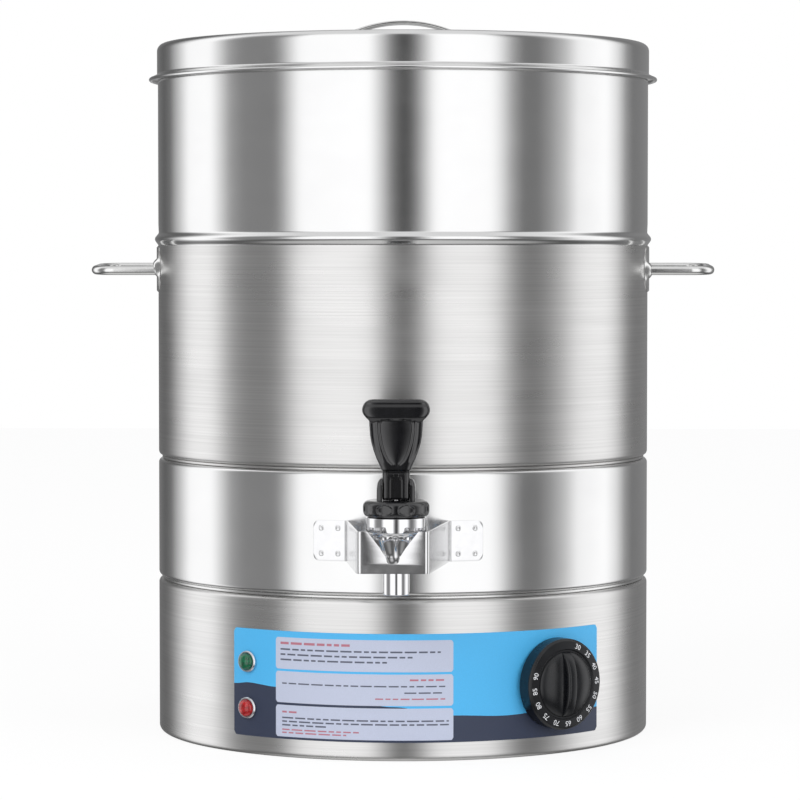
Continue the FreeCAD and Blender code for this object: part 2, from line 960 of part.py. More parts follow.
def make_tap_seals():
    """The washers take the curve of the wall on one face, and the nut clamps them."""
    free = size.fit_gap
    blank = primitive("Cylinder", "OuterWasherBlank", shank_place(size.body_radius - size.drill_run),
                      Radius=size.shank_flange, Height=size.washer_wall + size.drill_run)
    wall = primitive("Cylinder", "OuterWasherWall", Radius=size.body_radius,
                     Height=2 * size.shank_level)
    bore = primitive("Cylinder", "OuterWasherBore", shank_place(size.body_radius - size.drill_run),
                     Radius=size.shank_radius + free, Height=2 * size.drill_run)
    keep("tap_outer_washer", cut("TapOuterWasher", blank, wall, bore))
    tank_inner = tank_radius - size.sheet_wall
    seat = tank_inner - size.washer_wall
    blank = primitive("Cylinder", "InnerWasherBlank", shank_place(seat),
                      Radius=size.shank_flange, Height=size.washer_wall + size.drill_run)
    tank = primitive("Cylinder", "InnerWasherTank", Radius=tank_inner,
                     Height=2 * size.shank_level)
    inner_ring = common("InnerWasherRing", blank, tank)
    bore = primitive("Cylinder", "InnerWasherBore", shank_place(seat - size.drill_run),
                     Radius=size.shank_radius + free, Height=2 * size.drill_run)
    keep("tap_inner_washer", cut("TapInnerWasher", inner_ring, bore))
    nut = primitive("Prism", "ShankNutBlank", shank_place(seat - size.nut_wall), Polygon=6,
                    Circumradius=size.nut_across / math.sqrt(3), Height=size.nut_wall)
    bore = primitive("Cylinder", "ShankNutBore", shank_place(seat - size.nut_wall - 1),
                     Radius=size.shank_radius, Height=size.nut_wall + 2)
    keep("tap_shank_nut", cut("TapShankNut", nut, bore))


ring_top = size.collar_high + size.ring_rise
hub_top = ring_top + size.hub_rise
pin_level = ring_top + size.pin_rise
spigot_low = size.collar_high - size.spigot_drop
cup_low = size.seat_level + size.safe_gap
cup_high = cup_low + size.cup_rise


def make_bonnet():
    round_edge = size.ring_round
    loop = [
        (0, spigot_low),
        (size.chamber_radius - size.safe_gap, spigot_low),
        (size.chamber_radius - size.safe_gap, size.collar_high),
        (size.ring_radius - round_edge, size.collar_high, round_edge),
        (size.ring_radius, size.collar_high + round_edge),
        (size.ring_radius, ring_top - round_edge, round_edge),
        (size.ring_radius - round_edge, ring_top),
        (size.hub_radius, ring_top),
        (size.hub_radius, hub_top - round_edge, round_edge),
        (size.hub_radius - round_edge, hub_top),
        (0, hub_top),
    ]
    shell = turned("BonnetShell", loop)
    shell.setExpression("Placement.Base.y", formula_of(-tap_axis))
    slot_half = size.neck_half + size.safe_gap
    tools = [
        primitive("Box", "BonnetSlot",
                  at(-slot_half, -tap_axis - 2 * size.drill_run, ring_top),
                  Length=2 * slot_half, Width=4 * size.drill_run, Height=size.hub_rise + 1),
        primitive("Cylinder", "BonnetBore", at(0, -tap_axis, spigot_low - 1),
                  Radius=size.stem_radius + size.fit_gap, Height=hub_top - spigot_low + 2),
    ]
    count = int(number(size.dimple_count))
    for index in range(count):
        turn = 360 * (index + 0.5) / count
        spin = Rotation(Vector(0, 0, 1), turn - 90)
        out = spin.multVec(Vector(number(size.ring_radius + size.dimple_depth), 0, 0))
        place = Placement(Vector(out.x, out.y - number(tap_axis),
                                 number(size.collar_high + size.ring_rise / 2)), spin)
        dimple = primitive("Ellipsoid", "Dimple{}".format(index), place,
                           Radius1=size.dimple_half_height, Radius2=2 * size.dimple_depth,
                           Radius3=size.dimple_half_width)
        tools.append(dimple)
    keep("tap_bonnet", cut("TapBonnet", shell, *tools))


def make_stem():
    top = pin_level + size.stem_head
    low = cup_low + 3
    rod = primitive("Cylinder", "StemRod", at(0, -tap_axis, low), Radius=size.stem_radius,
                    Height=top - low)
    half = number(size.neck_half) + 2
    eye = primitive("Cylinder", "StemEye",
                    at(-half, -tap_axis, pin_level, Rotation(Vector(0, 1, 0), 90)),
                    Radius=size.pin_radius + size.pin_run, Height=2 * half)
    keep("tap_stem", cut("TapStem", rod, eye))
    loop = [
        (0, cup_low + size.cup_hollow),
        (size.spout_bore - size.safe_gap, cup_low + size.cup_hollow),
        (size.spout_bore + size.cup_lip, cup_low),
        (size.cup_radius, cup_low),
        (size.cup_radius, cup_low + 3),
        (size.stem_radius + size.cup_crown, cup_high),
        (size.stem_radius, cup_high),
        (size.stem_radius, cup_low + 3),
        (0, cup_low + 3),
    ]
    cup = turned("TapSeatCup", loop)
    cup.setExpression("Placement.Base.y", formula_of(-tap_axis))
    keep("tap_seat_cup", cup)
    make_spring()


def make_spring():
    """One open coil between the seat cup and the bonnet, in arcs of a quarter turn."""
    wire = number(size.spring_wire)
    radius = number(size.spring_radius)
    low = number(cup_high) + wire
    high = number(spigot_low) - wire
    steps = 4 * int(number(size.spring_turns))

    def coil_point(step):
        turn = math.pi / 2 * step
        climb = low + (high - low) * step / steps
        return Vector(radius * math.cos(turn), radius * math.sin(turn) - number(tap_axis), climb)

    arcs = [Part.Arc(coil_point(step), coil_point(step + 0.5), coil_point(step + 1)).toShape()
            for step in range(steps)]
    spring = tube_along(Part.Wire(arcs), wire)
    pitch = (high - low) / int(number(size.spring_turns))
    print("spring gap between turns {:.2f} mm".format(pitch - 2 * wire))
    keep("tap_spring", shaped("TapSpring", spring))


def make_lever():
    low = ring_top + size.safe_gap
    neck = size.neck_half
    foot = size.paddle_foot_half
    levels = [ring_top + rise for rise in (size.paddle_low, size.paddle_side, size.bar_low,
                                           size.bar_mid, size.paddle_top)]
    base, side, bar, mid, top = levels
    front = [
        (-neck, low),
        (neck, low),
        (neck, base - size.lever_taper),
        (foot, base, size.paddle_curve),
        (size.paddle_half, side),
        (size.paddle_half, bar),
        (size.bar_half, mid, size.bar_round),
        (size.bar_flat_half, top),
        (-size.bar_flat_half, top, size.bar_round),
        (-size.bar_half, mid),
        (-size.paddle_half, bar),
        (-size.paddle_half, side, size.paddle_curve),
        (-foot, base),
        (-neck, base - size.lever_taper),
    ]
    deep = size.neck_depth
    ease = size.lever_ease
    wide = 4 * size.drill_run
    profile = [
        (ease - deep, low),
        (deep - ease, low),
        (deep, low + ease),
        (deep, base),
        (deep - 2, side),
        (deep - ease, mid),
        (deep - size.lever_taper, top),
        (2 - deep, top),
        (-deep - ease, mid),
        (1 - deep, side - size.lever_waist),
        (1 - deep, base + size.lever_waist),
        (-deep, base),
        (-deep, low + ease),
    ]
    face = pressed("LeverFace", "XZ_Plane", [front], length=wide, symmetric=True)
    edge = pressed("LeverEdge", "YZ_Plane", [profile], length=2 * wide, symmetric=True)
    blank = common("LeverBlank", face, edge)
    slot_half = size.stem_radius + size.safe_gap
    slot = primitive("Box", "LeverSlot", at(-slot_half, -wide / 2, low - 1),
                     Length=2 * slot_half, Width=wide,
                     Height=pin_level + size.stem_head + ease - low + 1)
    lying = Rotation(Vector(0, 1, 0), 90)
    hole = primitive("Cylinder", "LeverPinHole", at(-wide / 2, 0, pin_level, lying),
                     Radius=size.pin_radius, Height=wide)
    dish_level = (base + bar) / 2
    dish = primitive("Ellipsoid", "LeverDish", at(0, -deep - size.dish_back, dish_level),
                     Radius1=(bar - base) / 2, Radius2=size.dish_half,
                     Radius3=size.dish_depth + 3)
    lever = cut("TapLever", blank, slot, hole, dish)
    lever.Placement = at(0, -tap_axis)
    keep("tap_lever", lever)
    pin_half = size.neck_half - size.fit_gap
    pin = primitive("Cylinder", "TapLeverPin", at(-pin_half, -tap_axis, pin_level, lying),
                    Radius=size.pin_radius, Height=2 * pin_half)
    keep("tap_lever_pin", pin)


def guard_strip():
    """The bent strip seen from above: feet on the wall, two wings and a front plate."""
    wall = number(size.guard_wall)
    radius = number(size.body_radius)
    front = -(radius + number(size.guard_reach))
    skew = -number(size.guard_skew)
    half = number(size.guard_front_half)
    root_x = number(size.guard_root_half)
    low = number(size.guard_low)
    rise = number(size.guard_rise)
    solids = []
    for side in (-1, 1):
        root_y = -math.sqrt(radius ** 2 - root_x ** 2)
        near = Vector(side * root_x, root_y, low)
        far = Vector(skew + side * half, front, low)
        along = (far - near).normalize()
        inward = Vector(side * along.y, -side * along.x, 0) * wall
        start = near - along * 2
        outline = [start, far, far + inward, start + inward, start]
        solids.append(Part.Face(Part.makePolygon(outline)).extrude(Vector(0, 0, rise)))
        root_angle = math.degrees(math.asin((root_x - wall) / radius))
        sweep = number(size.guard_foot_angle) - root_angle
        start_angle = -90 + (root_angle if side > 0 else -root_angle - sweep)
        foot = Part.makeCylinder(radius + wall, rise, Vector(0, 0, low), Vector(0, 0, 1), sweep)
        foot.rotate(Vector(0, 0, 0), Vector(0, 0, 1), start_angle)
        solids.append(foot)
    plate = Part.makeBox(2 * half, wall, rise, Vector(skew - half, front, low))
    solid = solids[0].multiFuse(solids[1:] + [plate])
    solid = solid.cut(Part.makeCylinder(radius, 2 * (low + rise))).removeSplitter()
    return rounded_bends(solid, front, skew)


def upright_edges(solid, level, reach, middle):
    """The upright edges that lie near a given distance in front and clear of the middle."""
    found = []
    for edge in solid.Edges:
        if not isinstance(edge.Curve, Part.Line) or abs(edge.tangentAt(0).z) < STRAIGHT_UP:
            continue
        point = edge.CenterOfMass
        if abs(point.y - level) < reach and abs(point.x - middle) > number(size.guard_front_half) / 2:
            found.append(edge)
    return found


def rounded_bends(solid, front, skew):
    """Rounds the two front bends inside and out, so that the strip keeps its wall."""
    bend = number(size.guard_bend)
    wall = number(size.guard_wall)
    inner = upright_edges(solid, front + wall, NEAR, skew)
    solid = solid.makeFillet(bend - wall, inner)
    outer = upright_edges(solid, front, NEAR, skew)
    solid = solid.makeFillet(bend, outer)
    surface = number(size.body_radius) + wall
    roots = []
    for edge in upright_edges(solid, -surface, surface, 0):
        point = edge.CenterOfMass
        off_surface = abs(math.hypot(point.x, point.y) - surface)
        if off_surface < ON_SURFACE and abs(point.x) < number(size.guard_root_half) + wall / 2:
            roots.append(edge)
    return solid.makeFillet(bend - wall, roots)


def make_guard():
    strip = guard_strip()
    front = -number(size.body_radius + size.guard_reach)
    top = number(size.guard_low + size.guard_rise)
    mid = top - number(size.notch_mid_drop)
    low = top - number(size.notch_drop)
    round_r = number(size.notch_round)
    x0 = -number(size.guard_skew)
    wide = number(size.notch_top_half)
    narrow = number(size.notch_mid_half)
    deep = number(size.drill_run)
    points = [(-wide - number(size.notch_flare), top + 1), (-narrow, mid), (-round_r, low + round_r)]
    left = [Vector(x0 + x, front - deep, z) for x, z in points]
    right = [Vector(x0 - x, front - deep, z) for x, z in reversed(points)]
    bottom = Part.Arc(left[-1], Vector(x0, front - deep, low), right[0]).toShape()
    edges = [Part.LineSegment(a, b).toShape() for a, b in zip(left, left[1:])]
    edges.append(bottom)
    edges += [Part.LineSegment(a, b).toShape() for a, b in zip(right, right[1:])]
    edges.append(Part.LineSegment(right[-1], left[0]).toShape())
    notch = Part.Face(Part.Wire(edges)).extrude(Vector(0, 2 * deep, 0))
    strip = strip.cut(notch)
    strip = strip.cut(foot_corners())
    for place in weld_places():
        dome = Part.makeCone(number(size.weld_radius), number(size.weld_top),
                             number(size.weld_proud + size.safe_gap))
        dome.Placement = inside(place, z=number(size.guard_wall - size.safe_gap))
        strip = strip.fuse(dome)
    keep("tap_guard", shaped("TapGuard", strip))


def foot_corners():
    """What is taken off the outer corners of both feet to round them."""
    radius = number(size.guard_foot_corner)
    deep = number(size.drill_run)
    tools = []
    for side in (-1, 1):
        for level, up in ((number(size.guard_low), 1),
                          (number(size.guard_low + size.guard_rise), -1)):
            angle = side * number(size.guard_foot_angle)
            place = on_wall(angle, level, size.body_radius)
            block = Part.makeBox(radius + 1, radius + 1, 2 * deep)
            block.Placement = inside(place, x=-radius if side > 0 else -1,
                                     y=-1 if up > 0 else -radius, z=-deep)
            disc = Part.makeCylinder(radius, 2 * deep)
            disc.Placement = inside(place, x=-side * radius, y=up * radius, z=-deep)
            tools.append(block.cut(disc))
    return tools[0].fuse(tools[1:])


def weld_places():
    """Four spot welds in each foot."""
    level = number(size.guard_low + size.guard_rise / 2)
    root_angle = math.degrees(math.asin(number(size.guard_root_half / size.body_radius)))
    middle = (root_angle + number(size.guard_foot_angle)) / 2 + number(size.weld_shift)
    for side in (-1, 1):
        for step in (-1, 1):
            for up in (-1, 1):
                angle = side * (middle + step * number(size.weld_turn))
                yield on_wall(angle, level + up * number(size.weld_rise), size.body_radius)


def ring_sector(name, inner, outer, low, rise, start, sweep):
    """Part of an upright ring, from an angle at the tap's side round to the right."""
    spin = Rotation(Vector(0, 0, 1), number(start) - 90)
    solid = primitive("Cylinder", name + "Outer", at(0, 0, low, spin), Radius=outer, Height=rise,
                      Angle=sweep)
    core = primitive("Cylinder", name + "Core", at(0, 0, number(low) - 1), Radius=inner,
                     Height=rise + 2)
    return solid, core


def make_label():
    back = size.body_radius + size.label_film
    solid, core = ring_sector("Label", back, size.body_radius + label_face,
                              size.label_low, size.label_rise, size.label_start, size.label_sweep)
    keep("control_label", cut("ControlLabel", solid, core, *panel_drills("Label")))


def make_lamp(colour, level):
    """A lens in a bezel, on a barrel that passes through the skirt."""
    seat = label_face
    bezel = seat + size.bezel_rise
    lens = size.lens_radius
    loop = [
        (0, -size.lamp_length),
        (size.lamp_shank, -size.lamp_length),
        (size.lamp_shank, seat),
        (size.bezel_radius, seat),
        (size.bezel_radius, bezel - size.bezel_edge),
        (size.bezel_radius - size.bezel_edge, bezel),
        (lens, bezel),
        (lens, bezel - size.lens_seat),
        (0, bezel - size.lens_seat),
    ]
    housing = turned(colour + "LampHousing", loop)
    housing.Placement = lamp_place(level)
    keep(colour.lower() + "_lamp_housing", housing)
    reach = lens - size.fit_gap
    dome_round = (square(reach) + square(size.lens_dome)) / (2 * size.lens_dome)
    loop = [
        (0, bezel - size.lens_seat),
        (reach, bezel - size.lens_seat),
        (reach, bezel, dome_round),
        (0, bezel + size.lens_dome),
    ]
    glass = turned(colour + "LampLens", loop)
    glass.Placement = lamp_place(level)
    keep(colour.lower() + "_lamp_lens", glass)
    nut = primitive("Prism", colour + "LampNutBlank",
                    lamp_place(level, -size.sheet_wall - size.lamp_nut_wall - size.fit_gap * 2),
                    Polygon=6, Circumradius=size.lamp_nut_radius, Height=size.lamp_nut_wall)
    bore = wall_drill(colour + "LampNutBore", lamp_place(level), size.lamp_shank)
    return cut(colour + "LampNut", nut, bore)


def make_lamps():
    nuts = [make_lamp("Green", size.green_lamp_level), make_lamp("Red", size.red_lamp_level)]
    keep("lamp_nuts", grouped("LampNuts", nuts))


def make_knob():
    low = size.knob_gap
    face = low + size.knob_skirt
    wall = size.knob_wall
    dome = size.knob_dome_radius
    dome_top = face + size.knob_dome
    dome_round = (square(dome) + square(size.knob_dome)) / (2 * size.knob_dome)
    loop = [
        (size.knob_radius - wall, low),
        (size.knob_radius, low),
        (size.knob_radius, low + size.knob_skirt / 2),
        (size.knob_radius - wall, face),
        (dome, face, dome_round),
        (0, dome_top),
        (0, low),
        (size.knob_socket, low),
        (size.knob_socket, face - wall),
        (size.knob_radius - wall, face - wall),
    ]
    shell = turned("KnobShell", loop)
    bar_half = size.knob_bar_half
    bar = primitive("Box", "KnobBar", at(-number(bar_half), -number(dome), face - 1),
                    Length=2 * bar_half, Width=2 * dome, Height=low + size.knob_rise - face + 1)
    bound_round = (square(dome) + square(low + size.knob_rise - face)) / (
        2 * (low + size.knob_rise - face))
    bound = primitive("Sphere", "KnobBarBound", at(z=low + size.knob_rise - bound_round),
                      Radius=bound_round)
    grip = common("KnobGrip", bar, bound)
    socket = primitive("Cylinder", "KnobSocket", at(z=number(low) - 1),
                       Radius=size.shaft_radius + size.shaft_run, Height=size.socket_depth)
    knob = cut("ThermostatKnob", fused("KnobSolid", shell, grip), socket)
    knob.Placement = knob_place()
    keep("thermostat_knob", knob)


def make_thermostat():
    stand = size.thermostat_stand
    front = -size.sheet_wall - stand
    half = number(size.thermostat_side) / 2
    place = knob_place()
    box = primitive("Box", "ThermostatBox",
                    inside(place, -half, -half, number(front - size.thermostat_deep)),
                    Length=size.thermostat_side, Width=size.thermostat_side,
                    Height=size.thermostat_deep)
    solids = [box]
    for side in (-1, 1):
        y = side * number(size.thermostat_pitch) / 2
        post = primitive("Cylinder", "ThermostatPost{}".format(side + 1),
                         inside(place, 0, y, front), Radius=size.thermostat_post,
                         Height=stand - size.fit_gap)
        solids.append(post)
    shaft_low = front - size.shaft_inside
    cuts = [primitive("Cylinder", "ThermostatShaftBore", inside(place, z=shaft_low - size.safe_gap),
                      Radius=size.shaft_radius + size.shaft_run, Height=2 * size.drill_run)]
    screws = []
    for side in (-1, 1):
        y = side * number(size.thermostat_pitch) / 2
        bore = primitive("Cylinder", "ThermostatTap{}".format(side + 1),
                         inside(place, 0, y, front - size.thermostat_thread - size.safe_gap),
                         Radius=size.thermostat_screw, Height=2 * size.drill_run)
        cuts.append(bore)
        loop = [
            (0, front - size.thermostat_thread),
            (size.thermostat_screw, front - size.thermostat_thread),
            (size.thermostat_screw, label_face),
            (size.screw_head, label_face),
            (size.screw_head - size.screw_edge, label_face + size.screw_head_rise),
            (0, label_face + size.screw_head_rise),
        ]
        screw = turned("ThermostatScrew{}".format(side + 1), loop)
        screw.Placement = inside(place, y=y)
        screws.append(screw)
    keep("thermostat_body", cut("ThermostatBody", fused("ThermostatSolid", *solids), *cuts))
    keep("thermostat_screws", grouped("ThermostatScrews", screws))
    shaft = primitive("Cylinder", "ThermostatShaft", inside(place, z=shaft_low),
                      Radius=size.shaft_radius, Height=size.knob_gap + size.shaft_outside - shaft_low)
    keep("thermostat_shaft", shaft)


def make_bottom_cover():
    radius = size.body_radius - size.foot_width - size.fit_gap * 3
    low = size.flange_lift - size.cover_wall
    disc = primitive("Cylinder", "CoverDisc", at(z=low), Radius=radius, Height=size.cover_wall)
    tools = cover_drills("Cover")
    count = int(number(size.vent_count))
    for index in range(count):
        turn = 2 * math.pi * index / count
        x = number(size.vent_ring) * math.cos(turn)
        y = number(size.vent_ring) * math.sin(turn)
        vent = primitive("Cylinder", "Vent{}".format(index), at(x, y), Radius=size.vent_radius,
                         Height=size.flange_lift + size.drill_run)
        tools.append(vent)
    keep("bottom_cover", cut("BottomCover", disc, *tools))
    screws = []
    head = size.cover_screw + size.cover_head_out
    loop = [
        (0, low - size.cover_head),
        (head - 1, low - size.cover_head),
        (head, low - size.cover_head + 1),
        (head, low),
        (size.cover_screw, low),
        (size.cover_screw, size.flange_lift + size.cover_thread),
        (0, size.flange_lift + size.cover_thread + size.cover_screw),
    ]
    for index, (x, y) in enumerate(cover_screw_places()):
        screw = turned("CoverScrew{}".format(index), loop)
        screw.Placement = at(x, y)
        screws.append(screw)
    keep("cover_screws", grouped("CoverScrews", screws))


def element_stop():
    """The angle from the tap at which the element leaves its ring for a leg."""
    return math.radians(number(size.element_leg_angle)) - number(size.element_bend / size.element_ring)


def ring_point(turn):
    """A point on the element's ring."""
    ring = number(size.element_ring)
    return Vector(ring * math.sin(turn), -ring * math.cos(turn), number(size.element_level))


def ring_tangent(side):
    """The way that the element runs where it leaves its ring."""
    stop = element_stop()
    return Vector(side * math.cos(stop), math.sin(stop), 0)


def element_feet():
    """Where the two legs of the heating element pass the tank floor."""
    for side in (-1, 1):
        foot = ring_point(side * element_stop()) + ring_tangent(side) * number(size.element_bend)
        yield foot.x, foot.y


def make_element():
    """A tube that runs round the tank just above its floor and dips through it at both ends."""
    bend = number(size.element_bend)
    low = number(size.tank_floor - size.element_tail)
    stop = element_stop()
    edges = [Part.Arc(ring_point(-stop), ring_point(0), ring_point(stop)).toShape()]
    ends = []
    for side in (-1, 1):
        top = ring_point(side * stop)
        along = ring_tangent(side)
        foot = top + along * bend - Vector(0, 0, bend)
        middle = top + along * (bend * math.sin(math.pi / 4))
        middle.z -= bend * (1 - math.cos(math.pi / 4))
        elbow = Part.Arc(top, middle, foot).toShape()
        tail = Part.LineSegment(foot, Vector(foot.x, foot.y, low)).toShape()
        edges += [elbow, tail]
        ends.append(foot)
    wire = Part.Wire(Part.sortEdges(edges)[0])
    keep("heating_element", shaped("HeatingElement", tube_along(wire, number(size.element_tube))))
    nuts, gaskets = [], []
    floor = size.tank_floor
    for index, foot in enumerate(ends):
        gasket = primitive("Cylinder", "GasketBlank{}".format(index),
                           at(foot.x, foot.y, floor - size.gasket_wall),
                           Radius=size.element_nut_radius, Height=size.gasket_wall)
        nut = primitive("Prism", "ElementNutBlank{}".format(index),
                        at(foot.x, foot.y, floor - size.gasket_wall - size.element_nut_wall),
                        Polygon=6, Circumradius=size.element_nut_radius,
                        Height=size.element_nut_wall)
        for items, blank, word in ((gaskets, gasket, "Gasket"), (nuts, nut, "ElementNut")):
            bore = primitive("Cylinder", "{}Bore{}".format(word, index),
                             at(foot.x, foot.y, floor - size.drill_run),
                             Radius=size.element_tube + size.fit_gap,
                             Height=2 * size.drill_run)
            items.append(cut("{}{}".format(word, index), blank, bore))
    keep("element_gaskets", grouped("ElementGaskets", gaskets))
    keep("element_nuts", grouped("ElementNuts", nuts))
    return ends, low


def make_gland():
    """A cord gland at the back: body with flange, outer cap and inner locknut."""
    place = gland_place()
    flange = size.gland_flange_wall
    body_loop = [
        (size.gland_bore, -size.gland_in),
        (size.gland_radius, -size.gland_in),
        (size.gland_radius, 0),
        (size.gland_flange, 0),
        (size.gland_flange, flange),
        (size.gland_radius, flange),
        (size.gland_radius, size.gland_out),
        (size.gland_bore, size.gland_out),
    ]
    body = turned("CableGland", body_loop)
    body.Placement = place
    keep("cable_gland", body)
    cap_low = flange + size.fit_gap
    cap_loop = [
        (size.gland_radius + size.fit_gap, cap_low),
        (size.gland_flange, cap_low),
        (size.gland_flange, size.gland_cap - size.gland_round, size.gland_round),
        (size.gland_flange - size.gland_round, size.gland_cap),
        (size.gland_bore, size.gland_cap),
        (size.gland_bore, size.gland_out),
        (size.gland_radius + size.fit_gap, size.gland_out),
    ]
    cap = turned("CableGlandCap", cap_loop)
    cap.Placement = place
    keep("cable_gland_cap", cap)
    nut_low = -size.sheet_wall - size.gland_nut - size.safe_gap
    nut = primitive("Prism", "GlandNutBlank", inside(place, z=nut_low), Polygon=6,
                    Circumradius=size.gland_flange, Height=size.gland_nut)
    bore = primitive("Cylinder", "GlandNutBore", inside(place, z=nut_low - 1),
                     Radius=size.gland_radius, Height=size.gland_nut + 2)
    keep("cable_gland_locknut", cut("CableGlandLocknut", nut, bore))


def make_base_electrics(element_ends, element_low):
    floor = size.flange_lift
    half = number(size.block_length) / 2
    back = number(size.block_back)
    inset = number(size.block_inset)
    block = primitive("Box", "TerminalBlockBox", at(-half, back, floor),
                      Length=size.block_length, Width=size.block_width, Height=size.block_rise)
    drills, screws = [], []
    head = floor + size.block_rise
    loop = [
        (0, floor + size.block_floor),
        (size.cover_screw, floor + size.block_floor),
        (size.cover_screw, head),
        (size.cover_screw + size.block_head, head),
        (size.cover_screw + 1, head + size.block_head),
        (0, head + size.block_head),
    ]
    for index, x in enumerate((-half + inset, 0, half - inset)):
        y = back + number(size.block_width) / 2
        drill = primitive("Cylinder", "BlockHole{}".format(index), at(x, y, floor + size.block_floor),
                          Radius=size.cover_screw, Height=size.block_rise)
        drills.append(drill)
        screw = turned("BlockScrew{}".format(index), loop)
        screw.Placement = at(x, y)
        screws.append(screw)
    keep("terminal_block", cut("TerminalBlock", block, *drills))
    keep("terminal_screws", grouped("TerminalScrews", screws))
    stud_loop = [
        (0, floor),
        (size.stud_foot, floor),
        (size.stud_foot, floor + size.stud_foot_wall),
        (size.stud_radius, floor + size.stud_foot_wall),
        (size.stud_radius, floor + size.stud_rise),
        (0, floor + size.stud_rise),
    ]
    stud = turned("EarthStud", stud_loop)
    stud.Placement = at(-size.stud_run, back)
    keep("earth_stud", stud)
    make_cutout()
    make_bulb()
    make_wires(element_ends, element_low, back)


def make_cutout():
    """A snap-disc cut-out held against the underside of the tank."""
    top = size.tank_floor
    loop = [
        (0, top - size.cutout_rise),
        (size.cutout_radius - size.cutout_step, top - size.cutout_rise),
        (size.cutout_radius - size.cutout_step, top - size.cutout_flange),
        (size.cutout_radius, top - size.cutout_flange),
        (size.cutout_radius, top),
        (0, top),
    ]
    cutout = turned("ThermalCutout", loop)
    cutout.Placement = at(0, size.cutout_back)
    keep("thermal_cutout", cutout)


def bulb_clip(x, level):
    """A strap that holds the bulb against the tank floor: a U with two feet, extruded along X."""
    floor = number(size.tank_floor)
    wall = number(size.clip_wall)
    bore = number(size.bulb_radius + size.fit_gap)
    foot = number(size.clip_foot)
    wide = bore + wall
    outline = [
        Part.LineSegment(Vector(x, -foot, floor), Vector(x, -foot, floor - wall)),
        Part.LineSegment(Vector(x, -foot, floor - wall), Vector(x, -wide, floor - wall)),
        Part.LineSegment(Vector(x, -wide, floor - wall), Vector(x, -wide, level)),
        Part.Arc(Vector(x, -wide, level), Vector(x, 0, level - wide), Vector(x, wide, level)),
        Part.LineSegment(Vector(x, wide, level), Vector(x, wide, floor - wall)),
        Part.LineSegment(Vector(x, wide, floor - wall), Vector(x, foot, floor - wall)),
        Part.LineSegment(Vector(x, foot, floor - wall), Vector(x, foot, floor)),
        Part.LineSegment(Vector(x, foot, floor), Vector(x, bore, floor)),
        Part.LineSegment(Vector(x, bore, floor), Vector(x, bore, level)),
        Part.Arc(Vector(x, bore, level), Vector(x, 0, level - bore), Vector(x, -bore, level)),
        Part.LineSegment(Vector(x, -bore, level), Vector(x, -bore, floor)),
        Part.LineSegment(Vector(x, -bore, floor), Vector(x, -foot, floor)),
    ]
    strap = Part.Face(Part.Wire([edge.toShape() for edge in outline]))
    strap = strap.extrude(Vector(number(size.clip_width), 0, 0))
    strap.translate(Vector(0, -number(size.bulb_back), 0))
    return strap


def make_bulb():
    """The sensing bulb lies under the tank floor, and a thin tube joins it to the thermostat."""
    floor = number(size.tank_floor)
    radius = number(size.bulb_radius)
    half = number(size.bulb_length) / 2
    level = floor - radius - number(size.safe_gap)
    line = -number(size.bulb_back)
    bulb = Part.makeCylinder(radius, 2 * half, Vector(-half, line, level), Vector(1, 0, 0))
    thermostat = inside(knob_place(), 0, 0, number(-size.sheet_wall - size.thermostat_stand
                                                   - size.thermostat_deep))
    start = thermostat.Base
    inward = thermostat.Rotation.multVec(Vector(0, 0, -1))
    turn_point = start + inward * number(size.capillary_run)
    points = [start, turn_point, Vector(turn_point.x, turn_point.y, level),
              Vector(half, line, level)]
    wire = rounded_route(points, number(size.capillary_bend))
    tube = tube_along(wire, number(size.capillary_radius))
    keep("thermostat_capillary", shaped("ThermostatCapillary", bulb.fuse(tube)))
    inset = number(size.clip_inset)
    clips = [bulb_clip(x, level) for x in (inset - half, half - 2 * inset)]
    keep("bulb_clips", shaped("BulbClips", Part.makeCompound(clips)))


def route_node(label, name, routes):
    tubes = []
    for points in routes:
        wire = rounded_route([Vector(*point) for point in points], number(size.wire_bend))
        tubes.append(tube_along(wire, number(size.wire_radius)))
    keep(label, shaped(name, Part.makeCompound(tubes)))


